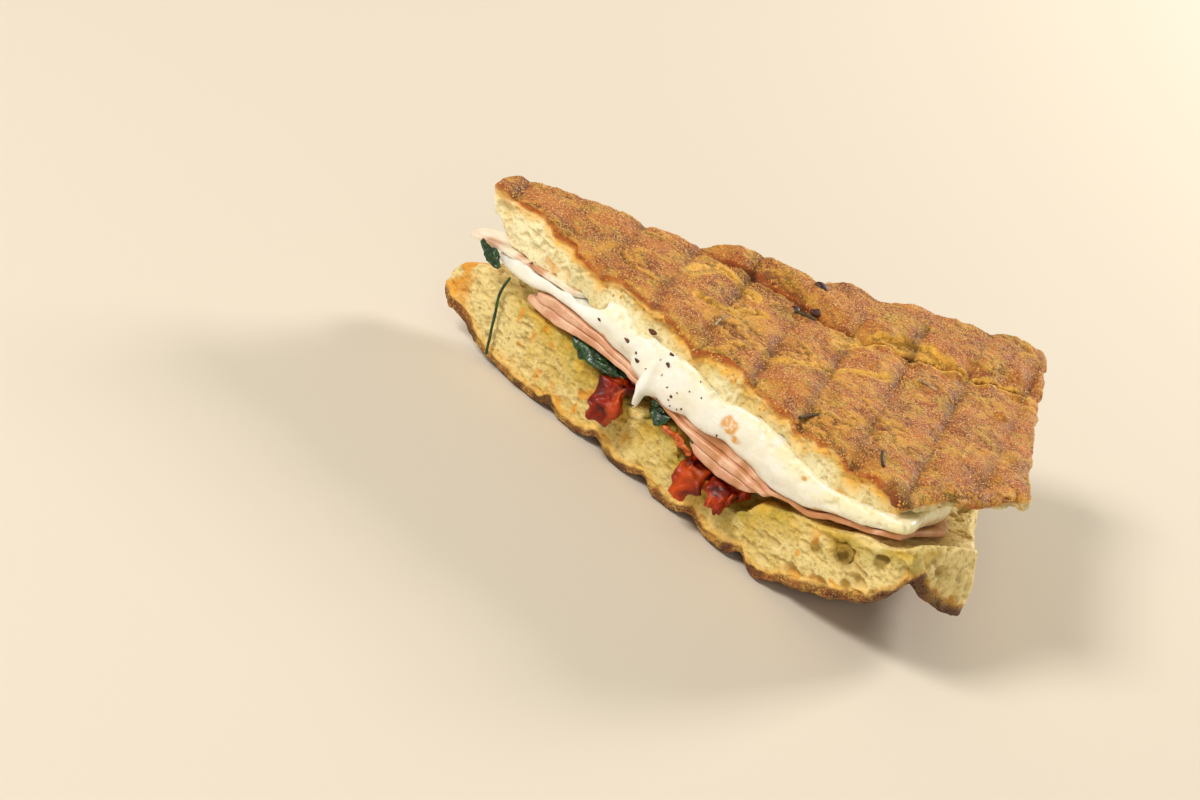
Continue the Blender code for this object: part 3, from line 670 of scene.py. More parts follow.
crack, crack_side = np.max([cracks(points, 5.0, 47), cracks(points, 7.5, 147)], axis=0)
behind = beside_fold(strayed)
opened = ramp(x, 36.0, 46.0) * ramp(82.0 - x, 0.0, 14.0)
roughness = crust_roughness(points, 51)
relief = roughness.copy()
step = ramp(behind, -0.2, 0.7) * hump(np.maximum(behind, 0.0), 9.0)
relief += step * (0.4 + 0.9 * opened) * ramp(x, 36.0, 46.0) * ramp(124.0 - x, 0.0, 20.0)
relief += 0.7 * bubbles(points, 8.0, 0.5, 52) * ramp(soft_noise(points, 12.0, 53), 0.1, 0.4)
relief -= 0.9 * hump(fold, 0.8) + (0.5 * hump(fold - 2.0, 1.1)) * opened
relief += 0.9 * hump(behind + 1.8, 1.6) * ramp(fold, 0.5, 1.2) * ramp(4.0 - fold, 0.0, 1.0)
relief -= 0.6 * hump(split, 0.7) - 0.45 * hump(split - 1.8, 1.2)
relief += hump(rib, 2.4) * (0.6 - 0.6 * rib_shown) - 0.35 * rib_shown * hump(rib, 0.8)
relief -= 0.45 * crack - 0.25 * crack_side
blob = np.hypot(x - BLOB_X, BLOB_SQUASH * (y - BLOB_Y))
relief += 1.7 * hump(blob, 4.2, 4)
sides = ramp(y, 3.0, 7.0) * ramp(0.6 - np.abs(normals[:, 2]), 0.0, 0.3)
relief += sides * (0.7 * soft_noise(points, 2.4, 54) + 0.5 * soft_noise(points, 5.0, 55))
# The second value is painted shade for the crumb's bubbles.
holes, pits = crumb_relief(points, 61, 0.8)
inner = 0.4 * soft_noise(points, 6.0, 62) + 0.25 - holes
edge = hump(depth - 0.8, 1.5) * front
ragged = edge * (1.0 * soft_noise(points, 2.2, 63) + 0.8 * soft_noise(points, 5.0, 64) + 0.4)
moved = points + normals * (crust * relief + (1.0 - crust) * inner)[:, None]
moved[:, 1] -= ragged
hanging = hump(over_roof, 1.3) * ramp(4.0 - y, 0.0, 2.5)
moved[:, 2] -= hanging * (1.5 + 0.7 * soft_noise(points, 2.6, 65) + 1.8 * hump(x - 38.0, 8.0))
put_points(top.data, moved)

lip = 2.0 + 3.5 * ramp(x, 30.0, 60.0) * ramp(soft_noise(points, 9.0, 75), -0.2, 0.5)
inward = np.maximum(y, 0.0)
far_edge = ramp(y, 4.0, 8.0) * ramp(normals[:, 2], 0.15, 0.4) * ramp(0.85 - normals[:, 2], 0.0, 0.25)
gold = np.max([
    hump(depth - thickness - 0.9, 1.5) * front * ramp(edge_noise, -1.3, 0.0),
    0.95 * hump(split - 0.9, 1.3) * upward,
    0.9 * upward * hump(behind + 1.6, 1.5) * ramp(x, 70.0, 84.0)
    * ramp(soft_noise(points, 6.0, 74), -0.5, 0.1),
    0.8 * crack_side * upward,
    0.85 * upward * hump(inward, lip) * ramp(edge_noise, -0.3, 0.5),
    0.85 * far_edge * ramp(soft_noise(points, 2.6, 76), -0.3, 0.4),
    0.6 * upward * ramp(soft_noise(points, 5.0, 77), 0.35, 0.7),
    0.45 * upward * ramp(-roughness, 0.14, 0.34),
    0.9 * crust * hump(blob - 5.4, 1.1) * ramp(soft_noise(points, 3.0, 78), -0.6, 0.2),
], axis=0)
orange = np.max([
    hump(depth - 0.8, 0.9) * front * ramp(edge_noise, -0.9, 0.3) * 0.85,
    0.9 * hump(behind - 0.9, 1.6) * crust * opened,
    0.5 * hump(fold, 0.8) * upward,
    0.5 * upward * hump(inward, 2.2) * ramp(-edge_noise, -0.2, 0.4),
], axis=0)
# Painted shade along the rib grooves: a thin dark line, and a wider band darker on one side of it.
rib_toast = (0.4 + 0.6 * rib_shown) * (0.3 * hump(rib, 0.6) + 0.46 * hump(rib + 0.9, 1.7))
# The toast number is browning mixed with painted shade: in the crease of the fold, in the grooves and in the
# cracks.
toast = upward * (0.25 * (1.0 + opened) * hump(fold, 0.55) + rib_toast + 0.22 * ramp(roughness, 0.14, 0.34))
toast = np.max([
    toast,
    0.75 * crust * hump(blob, 3.9, 4) * (0.65 + 0.35 * soft_noise(points, 1.6, 79)),
    0.6 * crack * upward,
], axis=0)
torn = np.minimum(split, fold + 4.0 * (1.0 - ramp(x, 80.0, 86.0)))
crumb = 1.0 - crust
oil = 0.25 * ramp(soft_noise(points, 6.0, 72), 0.0, 0.5) + 0.45 * hump(depth - 3.2, 2.6) * ramp(x, 30.0, 60.0)
store_all(top, crust=crust, gold=gold * (0.75 + 0.25 * soft_noise(points, 1.5, 71)), orange=orange,
          toast=toast, tear=upward * (1.0 - torn / 4.0), pit=crumb * pits, stain=crumb * oil,
          spot=0.6 * crumb * ramp(soft_noise(points, 2.4, 73), 0.62, 0.85),
          pale=0.9 * hump(over_roof, 2.6) + ramp(26.0 - x, 0.0, 10.0))
finish_piece(top, TOP_CRUST, "top_bread", "top_bread")

# %% [markdown]
# ### The lower slice
# The lower slice was pressed onto the ribs from below, so its underside is scalloped. Herb oil
# from the filling soaked into its upper edge, and its bubbles are largest near the heel. The
# crust is thin here, brown below with darker patches, and burnt dark at the heel's end.

# %% Lower slice
CRUMB_HOLES = [(122.0, 20.6, 3.1), (115.2, 17.6, 1.5), (130.6, 24.6, 1.6), (125.8, 14.8, 1.4)]

bottom = merged_copy("bottom_bread", "bottom_bread_skin")
voxel_skin(bottom, LOWER_VOXEL, 4)
finer_front(bottom)
rounded_holes(bottom, CRUMB_HOLES, 1.35, 14)
points, normals = skin_of(bottom)
x, y, z = points.T
probes = pulled_in(points, normals)
above_under = z - surface_heights("bottom_bread", probes, False)
under_floor = surface_heights("bottom_bread", probes, True) - z
front = ramp(-normals[:, 1], 0.35, 0.75) * ramp(5.0 - y, 0.0, 2.0)
downward = ramp(-normals[:, 2], 0.1, 0.5)
edge_noise = soft_noise(points, 2.6, 131) + 0.6 * soft_noise(points, 8.0, 132)
thickness = 1.8 + 0.8 * edge_noise + 0.7 * ramp(x, 100.0, 125.0)
side_band = np.where(front > 0.5, 0.0, 0.8)
crust = 1.0 - ramp(above_under, thickness + side_band, thickness + side_band + 0.9)
crust = np.maximum(crust, downward * ramp(5.0 - above_under, 0.0, 1.0))
coarse = 0.45 + 0.85 * ramp(x, 98.0, 112.0)

relief = crust_roughness(points, 151) + 0.3 * soft_noise(points, 2.4, 152)
# The second value is painted shade for the crumb's bubbles.
holes, pits = crumb_relief(points, 161, coarse)
# Painted shade inside the big holes of the cut face; it darkens them through the pit, stain and toast numbers
# below.
hole_shade = np.zeros(len(points))
for hole_x, hole_z, radius in CRUMB_HOLES:
    away = np.hypot(x - hole_x, z - hole_z)
    hole_shade = np.maximum(hole_shade, hump(away, 1.05 * radius, 6) * ramp(5.0 - y, 0.0, 1.0))
pits = np.maximum(pits, hole_shade)
inner = 0.25 * soft_noise(points, 7.0, 162) + 0.2 - holes
points[:, 1] += 0.6 * front * (-0.25 - y)
standing = ramp(z, 0.1, 1.2)
moved = points + normals * ((crust * relief * standing) + (1.0 - crust) * inner)[:, None]
edge = hump(under_floor, 1.5) * front
moved[:, 1] -= edge * 0.7 * soft_noise(points, 2.5, 163)
put_points(bottom.data, moved)

reach = 5.0 + 3.0 * soft_noise(points, 11.0, 171) + 3.0 * hump(x - 46.0, 14.0)
stain = hump(under_floor, reach) * ramp(soft_noise(points, 4.0, 172), -0.9, 0.3)
stain *= ramp(x, 8.0, 26.0) * (0.12 + 0.88 * ramp(16.0 - y, 0.0, 9.0))
spots = ramp(soft_noise(points, 2.6, 173), 0.5, 0.75) * ramp(soft_noise(points, 12.0, 174), -0.3, 0.3)
stain *= 1.0 - 0.75 * ramp(x, 112.0, 126.0) * ramp(normals[:, 2], 0.3, 0.8)
tip_gold = ramp(8.0 - x, 0.0, 6.0) * ramp(soft_noise(points, 2.0, 175), -0.2, 0.5)
toast = 0.3 * hole_shade + crust * (0.15 + 0.6 * ramp(soft_noise(points, 3.4, 176), -0.1, 0.6))
burnt_end = ramp(x, 128.0, 136.0) * ramp(above_under, 4.5, 1.5)
burnt_end *= ramp(soft_noise(points, 3.0, 177), -0.7, 0.1)
crumb = 1.0 - crust
store_all(bottom, crust=crust, gold=0.5 * hump(above_under - thickness - 1.0, 0.9) * (1.0 - downward),
          orange=0.3 * crust * ramp(edge_noise, 0.3, 0.9), toast=np.maximum(toast, 0.75 * burnt_end),
          pit=crumb * pits, stain=crumb * np.maximum(stain, 0.5 * hole_shade),
          pale=ramp(30.0 - x, 0.0, 14.0) + 0.7 * ramp(x, 104.0, 120.0),
          spot=crumb * np.maximum(0.8 * spots, 0.9 * tip_gold))
finish_piece(bottom, UNDER_CRUST, "bottom_bread", "bottom_bread")

# %% [markdown]
# ## Melted cheese
# The cheese melted and swelled out of the cut, and hangs over the ham in the middle. Its solid
# gives the layer; some soft lumps are joined to it before the remesh, because a voxel remesh
# welds whatever overlaps into one skin, just as melting does. A lot of smoothing then rounds it.

# %% Cheese
MELT = {"white": (249, 247, 236), "cream": (242, 236, 214), "toasted": (226, 158, 56)}
DRIP_X = 60.2
CHEESE_LUMPS = [
    (52.0, -1.0, 30.4, 5.0, 1.5, 2.6), (57.5, -1.6, 28.0, 4.0, 1.5, 3.4), (61.0, -2.0, 25.4, 3.0, 1.5, 3.0),
    (67.0, -1.3, 27.0, 6.0, 1.6, 4.4), (77.0, -1.2, 28.4, 8.0, 1.5, 4.8), (90.0, -1.0, 28.6, 9.0, 1.3, 4.4),
    (45.0, -0.8, 31.0, 5.0, 1.3, 2.0), (45.5, 1.2, 33.0, 5.0, 1.8, 1.7),
]


def add_lump(build, x, y, z, wide, deep, high):
    made = bmesh.ops.create_icosphere(build, subdivisions=3, radius=1.0)
    size = Matrix.Diagonal((wide * MILLIMETRE, deep * MILLIMETRE, high * MILLIMETRE, 1.0))
    bmesh.ops.transform(build, matrix=Matrix.Translation(in_frame(x, y, z)) @ size, verts=made["verts"])


def cheese_material():
    made, tree, shader = new_material("melted cheese", 0.3, Subsurface_Weight=0.35, Coat_Weight=0.25,
                                      Subsurface_Scale=0.003, Coat_Roughness=0.2,
                                      Subsurface_Radius=(1.0, 0.8, 0.5))
    broad = patches(tree, 9.0, 0.4, 0.65)
    shade = laid_over(tree, colour(*MELT["white"]), (broad, 1.0, MELT["cream"]))
    pores = speckle(tree, 1.4, 0.6, 0.55)["Height"]
    # The crumbly edge of the cheese gets the crumb's pores, darkened with painted shade.
    crumbly = laid_over(tree, colour(*UPPER_CRUMB["light"]), (pores, 0.45, UPPER_CRUMB["pore_shade"]))
    shade = mix_colour(tree, attribute(tree, "crumbly"), shade, crumbly)
    ragged = patches(tree, 1.2, 0.35, 0.6)
    toasted = times(tree, attribute(tree, "toasted"), maths(tree, "ADD", 0.3, ragged, clamp=True))
    linked_material(tree, shader, laid_over(tree, shade, (toasted, 1.0, MELT["toasted"])), 3.0, 0.22, 0.5)
    bump(tree, shader, cloud(tree, (0.5, 0.9, 0.9), 1.0, 4.0), 0.35, 0.4)
    return made


CHEESE = cheese_material()
TOASTED_SPOTS = [(84.0, 29.5, 2.6), (87.0, 28.0, 1.8), (112.0, 25.6, 2.6), (117.0, 27.2, 2.4),
                 (106.0, 30.4, 1.3), (44.0, 27.0, 1.8), (40.0, 32.5, 2.2)]

cheese = merged_copy("cheese", "cheese_melt")
with edited(cheese.data) as build:
    for lump in CHEESE_LUMPS:
        add_lump(build, *lump)
voxel_skin(cheese, CHEESE_VOXEL, 18)
points, normals = skin_of(cheese)
x, y, z = points.T
front = ramp(-normals[:, 1], 0.0, 0.5) * ramp(4.0 - y, 0.0, 2.0)
above_cheese = surface_heights("top_bread", np.maximum(points, [-1000.0, 1.0, 0.0]), False) - z
flow = 0.3 * soft_noise(points * np.array([1.0, 1.0, 0.45]), 5.0, 211) + 0.12 * soft_noise(points, 2.2, 212)
heel = ramp(x + 1.5 * soft_noise(points, 2.5, 216), 126.0, 131.0)
rim_reach = 2.6 + 2.2 * ramp(x, 86.0, 100.0)
rim = hump(above_cheese, rim_reach, 4) * ramp(soft_noise(points, 3.0, 218), -0.9, -0.1) * front
dents = 1.2 * bubbles(points, 2.6, 0.5, 217) * np.maximum(heel, rim)
melt = points + normals * (0.25 + front * (flow - dents))[:, None]
rise = (1.3 - 0.9 * ramp(x, 84.0, 98.0)) * ramp(normals[:, 2], -0.2, 0.6)
melt[:, 2] += front * rise * (0.7 + 0.6 * soft_noise(points, 3.5, 219))
dripping = ramp(25.0 - z, 0.0, 3.0) * ramp(4.5 - np.abs(x - DRIP_X), 0.0, 1.0) * ramp(-1.9 - y, 0.0, 0.6)
melt[:, 0] += 0.45 * dripping * (DRIP_X - melt[:, 0])
put_points(cheese.data, melt)
toasted = np.zeros(len(points))
for place_x, place_z, radius in TOASTED_SPOTS:
    away = np.hypot(x - place_x, 1.4 * (z - place_z)) / radius
    toasted = np.maximum(toasted, front * ramp(1.0 - away + 0.4 * soft_noise(points, 1.6, 215), 0.0, 0.5))
store_all(cheese, toasted=0.9 * toasted, crumbly=np.maximum(heel, 0.9 * rim))
finish_piece(cheese, CHEESE, "cheese", "cheese")

# %% [markdown]
# ## Ham and turkey
# Sliced meat is wet, pink and faintly marbled, and tan along the edge that the heat reached.
# The slices stay as their solids lie, subdivided so that their cut edges can be frayed.

# %% Meat
def meat_material(name, lean, pale, edge):
    made, tree, shader = new_material(name, 0.4, Subsurface_Weight=0.2, Coat_Weight=0.15,
                                      Subsurface_Scale=0.002, Coat_Roughness=0.25,
                                      Subsurface_Radius=(1.0, 0.4, 0.3))
    marble = patches(tree, 3.5, 0.42, 0.66)
    fibre = cloud(tree, (0.35, 0.5, 2.2), 1.0, 4.0)
    streak = step_mask(tree, fibre, 0.52, 0.7)
    shade = laid_over(tree, colour(*lean), (marble, 1.0, pale), (streak, 0.5, pale),
                      (attribute(tree, "tan"), 1.0, edge))
    linked_material(tree, shader, shade, 2.5, 0.28, 0.55)
    bump(tree, shader, fibre, 0.3, 0.2)
    return made


def dress_slice(node, finish, slot, seed, fray, swell, forward):
    """A slice with a frayed edge; forward brings its left part level with the slice below it."""
    piece = merged_copy(node, node + "_cut")
    divided_skin(piece, 3, 2)
    points, normals = skin_of(piece)
    x, y = points[:, 0], points[:, 1]
    front = ramp(3.0 - y, 0.0, 3.0)
    jag = soft_noise(points * np.array([1.0, 0.2, 0.15]), 2.4, seed) + 0.6 * soft_noise(points, 6.0, seed + 1)
    moved = points + normals * (swell + 0.06 * soft_noise(points, 1.5, seed + 2) * front)[:, None]
    moved[:, 1] += front * (fray * jag - forward * ramp(68.0 - x, 0.0, 8.0))
    moved[:, 2] += front * 0.3 * soft_noise(points * np.array([1.0, 0.3, 0.1]), 4.0, 300)
    put_points(piece.data, moved)
    store(piece.data, "tan", front * ramp(jag + 0.6 * ramp(x, 58.0, 70.0), -0.1, 1.1) * 0.8)
    finish_piece(piece, finish, slot, node)


HAM = meat_material("cooked ham", (216, 156, 124), (236, 194, 160), (188, 126, 70))
TURKEY = meat_material("turkey slice", (246, 224, 198), (253, 242, 224), (190, 118, 60))
for node, forward in (("ham_slice_lower", 0.0), ("ham_slice_middle", 0.0), ("ham_slice_upper", 0.8)):
    dress_slice(node, HAM, "ham", 301, 0.45, 0.28, forward)
dress_slice("turkey_slice", TURKEY, "turkey", 341, 0.5, 0.05, 0.0)

# %% [markdown]
# ## Dried tomato
# A strip of dried tomato is leathery: deep folds run along it, the skin is dark red and shines
# with oil, and it turns orange in patches along the crests of its folds. Folds come from ridged
# noise, which is ordinary noise with its zero line turned into a sharp crest.

# %% Tomato strips
DRIED = {"red": (146, 36, 8), "dark": (74, 18, 8), "flesh": (214, 84, 12)}


def tomato_material():
    made, tree, shader = new_material("dried tomato", 0.3, Subsurface_Weight=0.1, Coat_Weight=0.08,
                                      Subsurface_Scale=0.001, Coat_Roughness=0.2, Specular_IOR_Level=0.3,
                                      Subsurface_Radius=(1.0, 0.25, 0.1))
    broad = patches(tree, 5.0, 0.42, 0.58)
    shade = laid_over(tree, colour(*DRIED["red"]), (broad, 1.0, DRIED["dark"]),
                      (attribute(tree, "flesh"), 1.0, DRIED["flesh"]))
    linked_material(tree, shader, shade, 1.5, 0.25, 0.55)
    bump(tree, shader, cloud(tree, (1.4, 1.4, 0.8), 1.0, 5.0), 0.6, 0.4)
    return made


def dress_tomato(node, seed, redness):
    piece = merged_copy(node, node + "_strip")
    voxel_skin(piece, TOMATO_VOXEL, 4)
    points, normals = skin_of(piece)
    fold = 1.0 - 2.0 * np.abs(soft_noise(points * np.array([1.6, 1.0, 0.6]), 3.4, seed))
    wrinkle = 1.0 - 2.0 * np.abs(soft_noise(points, 1.6, seed + 1))
    moved = points + normals * (0.8 * fold + 0.35 * wrinkle - 0.3)[:, None]
    sway = np.stack([soft_noise(points, 3.0, seed + axis) for axis in (3, 4, 5)], axis=1)
    moved += sway * np.array([1.4, 0.7, 1.0])
    put_points(piece.data, moved)
    # Orange in patches along the crests of the folds.
    thin = ramp(soft_noise(points, 4.0, seed + 2) + redness, 0.1, 0.9) * ramp(fold, -0.4, 0.8)
    store(piece.data, "flesh", 0.85 * thin)
    finish_piece(piece, TOMATO, "tomato", node)


TOMATO = tomato_material()
dress_tomato("tomato_left", 401, 0.0)
dress_tomato("tomato_middle", 411, 0.3)
dress_tomato("tomato_right", 421, -0.1)

# %% [markdown]
# ## Spinach
# Wilted spinach is thin, dark and wet, and crumples into sharp little folds. The leaves keep
# the bend of their solids and get finer folds; the thin stem that hangs over the lower slice is
# a tube swept along its route with Geometry Nodes, unevenly thick along its length.

# %% Spinach material and leaves
LEAF = {"dark": (14, 42, 18), "light": (32, 74, 30), "vein": (78, 122, 56)}


def spinach_material():
    made, tree, shader = new_material("wilted spinach", 0.35, Subsurface_Weight=0.1, Coat_Weight=0.3,
                                      Subsurface_Scale=0.001, Coat_Roughness=0.2,
                                      Subsurface_Radius=(0.3, 1.0, 0.2))
    broad = patches(tree, 3.0, 0.42, 0.62)
    vein = patches(tree, 1.1, 0.52, 0.62)
    shade = laid_over(tree, colour(*LEAF["dark"]), (broad, 1.0, LEAF["light"]), (vein, 0.3, LEAF["vein"]))
    linked_material(tree, shader, shade, 1.2, 0.18, 0.5)
    bump(tree, shader, cloud(tree, EVEN, 1.1, 4.0), 0.6, 0.4)
    return made


def dress_leaf(node, seed, crumple, droop, stretch):
    piece = merged_copy(node, node + "_leaf")
    voxel_skin(piece, LEAF_VOXEL, 2)
    points = points_of(piece.data)
    lift = crumple * (1.0 - 2.0 * np.abs(soft_noise(points, 2.6, seed)))
    lift += 0.2 * soft_noise(points, 1.1, seed + 1)
    out = np.maximum(-points[:, 1], 0.0)
    moved = points.copy()
    moved[:, 2] += lift - droop * out * (1.0 + 0.5 * soft_noise(points, 3.0, seed + 3))
    moved[:, 1] += 0.5 * crumple * soft_noise(points, 2.0, seed + 2)
    moved[:, 0] += 0.9 * soft_noise(points, 1.8, seed + 4) + stretch * (points[:, 0] - points[:, 0].min())
    put_points(piece.data, moved)
    finish_piece(piece, SPINACH, "spinach", node)


SPINACH = spinach_material()
dress_leaf("spinach_tip", 501, 0.5, 0.0, 0.0)
dress_leaf("spinach_left", 511, 0.9, 0.8, 0.45)
dress_leaf("spinach_right", 521, 0.7, 0.8, 0.0)

# %% Spinach stem
STEM_ROUTE = [(14.6, -1.3, 23.8), (14.0, -1.4, 21.4), (13.6, -1.4, 19.0), (14.0, -1.4, 16.0),
              (15.0, -1.5, 13.0), (15.2, -1.6, 10.4), (16.2, -1.6, 7.0), (16.4, -1.7, 5.0),
              (17.0, -1.8, 3.2)]


def interface_socket(tree, name, kind, value=None):
    socket = tree.interface.new_socket(name, in_out="INPUT", socket_type="NodeSocket" + kind)
    if value is not None:
        socket.default_value = value


def geometry_tree(name, sockets):
    """A new tree with its named inputs; sockets gives each one's kind and value."""
    tree = bpy.data.node_groups.new(name, "GeometryNodeTree")
    tree.interface.new_socket("Geometry", in_out="OUTPUT", socket_type="NodeSocketGeometry")
    interface_socket(tree, "Geometry", "Geometry")
    for label, (kind, value) in sockets.items():
        interface_socket(tree, label, kind, value)
    interface_socket(tree, "Material", "Material")
    return tree, tree.nodes.new("NodeGroupInput").outputs


def end_tree(tree, geometry, material):
    loose = add(tree, "GeometryNodeRealizeInstances", {"Geometry": geometry})
    painted = add(tree, "GeometryNodeSetMaterial", {"Geometry": loose.outputs[0], "Material": material})
    end = tree.nodes.new("NodeGroupOutput")
    tree.links.new(painted.outputs[0], end.inputs["Geometry"])
    return tree


def grown(name, source, tree, material, **inputs):
    """A new piece that a Geometry Nodes tree makes from a source, which is removed after it."""
    modifier = source.modifiers.new("grown", "NODES")
    modifier.node_group = tree
    for label, value in inputs.items():
        set_input(modifier, label, value)
    set_input(modifier, "Material", material)
    graph = bpy.context.evaluated_depsgraph_get()
    mesh = bpy.data.meshes.new_from_object(source.evaluated_get(graph))
    bpy.data.objects.remove(source, do_unlink=True)
    return new_piece(name, mesh)


def set_input(modifier, name, value):
    """A modifier's input is set by its socket's identifier."""
    for item in modifier.node_group.interface.items_tree:
        if item.item_type == "SOCKET" and item.in_out == "INPUT" and item.name == name:
            modifier[item.identifier] = value


def tube_tree():
    tree, start = geometry_tree("tube along a route", {
        "Radius": ("Float", 0.0005), "Unevenness": ("Float", 0.4), "Sides": ("Int", 10)})
    bumps = add(tree, "ShaderNodeTexNoise", {"Scale": 420.0, "Detail": 1.0}).outputs[0]
    uneven = times(tree, maths(tree, "SUBTRACT", bumps, 0.5), start["Unevenness"])
    fine = add(tree, "GeometryNodeResampleCurve", {"Curve": start["Geometry"], "Length": 0.0004},
               mode="LENGTH")
    ring = add(tree, "GeometryNodeCurvePrimitiveCircle",
               {"Resolution": start["Sides"], "Radius": start["Radius"]})
    tube = add(tree, "GeometryNodeCurveToMesh",
               {"Curve": fine.outputs[0], "Profile Curve": ring.outputs[0],
                "Scale": maths(tree, "ADD", uneven, 1.0), "Fill Caps": True})
    return end_tree(tree, tube.outputs[0], start["Material"])


def swept_tube(name, route, radius, material):
    curve = bpy.data.curves.new(name, "CURVE")
    curve.dimensions = "3D"
    spline = curve.splines.new("NURBS")
    spline.points.add(len(route) - 1)
    for point, place in zip(spline.points, route):
        point.co = (*in_frame(*place), 1.0)
    spline.use_endpoint_u = True
    spline.order_u = 4
    return grown(name, new_piece(name + "_route", curve), TUBE_TREE, material, Radius=radius * MILLIMETRE)


TUBE_TREE = tube_tree()
stem = swept_tube("spinach_stem_tube", STEM_ROUTE, 0.36, SPINACH)
finish_piece(stem, SPINACH, "spinach", "spinach_stem")

# %% [markdown]
# ## Scattered bits
# Small things decide whether food looks real: semolina grains baked onto the crust, flakes of
# pepper in the cheese, crumbs of browned bread. A scatter is one Geometry Nodes tree: points are
# spread over a surface, as thick as a stored attribute says, and a small rough grain is put on
# each with its own turn and size.

# %% Scatter tree
FULL_TURN = 6.28


def scatter_tree():
    tree, start = geometry_tree("grains on a surface", {
        "Mask": ("String", "grains"), "Density": ("Float", 1000.0), "Smallest": ("Vector", (0.0002,) * 3),
        "Largest": ("Vector", (0.0004,) * 3), "Seed": ("Int", 1)})
    mask = add(tree, "GeometryNodeInputNamedAttribute", {"Name": start["Mask"]}, data_type="FLOAT")
    dense = times(tree, mask.outputs["Attribute"], start["Density"])
    spread = add(tree, "GeometryNodeDistributePointsOnFaces",
                 {"Mesh": start["Geometry"], "Density": dense, "Seed": start["Seed"]})
    grain = add(tree, "GeometryNodeMeshIcoSphere", {"Radius": 1.0, "Subdivisions": 1})
    size = add(tree, "FunctionNodeRandomValue", {0: start["Smallest"], 1: start["Largest"],
                                                 "Seed": start["Seed"]}, data_type="FLOAT_VECTOR")
    turn = add(tree, "FunctionNodeRandomValue", {0: (0.0,) * 3, 1: (FULL_TURN,) * 3},
               data_type="FLOAT_VECTOR")
    placed = add(tree, "GeometryNodeInstanceOnPoints",
                 {"Points": spread.outputs["Points"], "Instance": grain.outputs[0],
                  "Rotation": turn.outputs[0], "Scale": size.outputs[0]})
    return end_tree(tree, placed.outputs[0], start["Material"])


SCATTER_TREE = scatter_tree()


def scatter(name, surface, mask, count, smallest, largest, seed, material, slot):
    """Spreads about count grains over a piece, where its stored mask is high."""
    source = new_piece(name + "_source", surface.data.copy())
    store(source.data, "grains", mask)
    source.data.update()
    covered = mask.mean() * sum(face.area for face in source.data.polygons)
    low, high = ([value * MILLIMETRE for value in size] for size in (smallest, largest))
    piece = grown(name, source, SCATTER_TREE, material, Mask="grains", Density=count / covered,
                  Smallest=low, Largest=high, Seed=seed)
    finish_piece(piece, material, slot)


# %% Grains, flakes and crumbs
def grain_material(name, first, second, roughness):
    made, tree, shader = new_material(name, roughness)
    broad = patches(tree, 1.4, 0.4, 0.6)
    tree.links.new(laid_over(tree, colour(*first), (broad, 1.0, second)), shader.inputs["Base Color"])
    bump(tree, shader, speckle(tree, 0.3, 0.6, 0.5)["Height"], 0.4, 0.1)
    return made


SEMOLINA = grain_material("semolina grain", (250, 206, 126), (216, 152, 80), 0.5)
PEPPER = grain_material("pepper flake", (62, 34, 22), (116, 66, 34), 0.6)
CRUMBS = grain_material("golden crumb", (232, 178, 84), (206, 134, 52), 0.7)

points, normals = skin_of(top)
crust_up = ramp(normals[:, 2], 0.4, 0.8) * ramp(points[:, 2], 36.0, 38.0)
scatter("semolina_grains", top, crust_up, 8200, (0.10, 0.10, 0.08), (0.26, 0.26, 0.20), 11, SEMOLINA,
        "top_bread")
rim = ramp(-normals[:, 1], 0.2, 0.6) * hump(points[:, 2] - 39.5, 1.6) * ramp(points[:, 0], 25.0, 50.0)
scatter("edge_crumbs", top, rim, 320, (0.15, 0.15, 0.15), (0.5, 0.5, 0.4), 12, CRUMBS, "top_bread")
points, normals = skin_of(cheese)
cheese_faces = points[normals[:, 1] < -0.2]
peppered = ramp(-normals[:, 1], 0.3, 0.7) * hump(points[:, 0] - 62.0, 16.0)
scatter("pepper_flakes", cheese, peppered, 16, (0.18, 0.18, 0.08), (0.6, 0.45, 0.25), 13, PEPPER, "cheese")

# %% [markdown]
# ### Herb needles and small lumps
# A few dried herb needles lie on the crust, fused to it in the solid. Here they get their own
# brown-green colour, on the crust where the solid has them. Some larger bits are lumps given one
# by one: charred crust by the fold, pepper on the cheese, tomato flesh and shreds of spinach. The
# height of the crust is found by looking straight down onto it.

# %% Needles and lumps
NEEDLES = [(63.7, 11.3, 100), (70.4, 37.0, 20), (117.8, 5.9, 130), (102.9, 45.1, 5), (97.7, 4.4, 75)]
PALE_NEEDLES = (0, 3)
NEEDLE_LENGTH, NEEDLE_RADIUS, NEEDLE_BEND = 5.4, 0.42, 0.35
CHARRED = [(65.1, 49.6, 1.5), (66.8, 38.4, 1.0), (70.1, 42.2, 1.2)]
HERB = grain_material("dried herb", (96, 78, 44), (56, 50, 28), 0.6)
PALE_HERB = grain_material("bleached herb", (206, 172, 118), (130, 100, 60), 0.6)
SOFT_FLESH = grain_material("tomato flesh", (214, 122, 46), (176, 64, 22), 0.4)
CHAR = grain_material("charred crust", (44, 24, 20), (86, 50, 40), 0.5)
needle_heights = surface_heights("top_bread", np.array(NEEDLES), True)
char_heights = heights_on(top.data, np.array(CHARRED), True)
for number, ((x, y, direction), height) in enumerate(zip(NEEDLES, needle_heights)):
    turn = math.radians(direction)
    route = []
    for share in (-0.5, -0.2, 0.1, 0.5):
        along, bend = NEEDLE_LENGTH * share, NEEDLE_BEND * math.cos(3.0 * share)
        route.append((x + along * math.cos(turn) - bend * math.sin(turn),
                      y + along * math.sin(turn) + bend * math.cos(turn), height + 0.35 + 0.5 * share))
    finish = PALE_HERB if number in PALE_NEEDLES else HERB
    needle = swept_tube("herb_needle_%d" % number, route, NEEDLE_RADIUS, finish)
    finish_piece(needle, finish, "spinach")


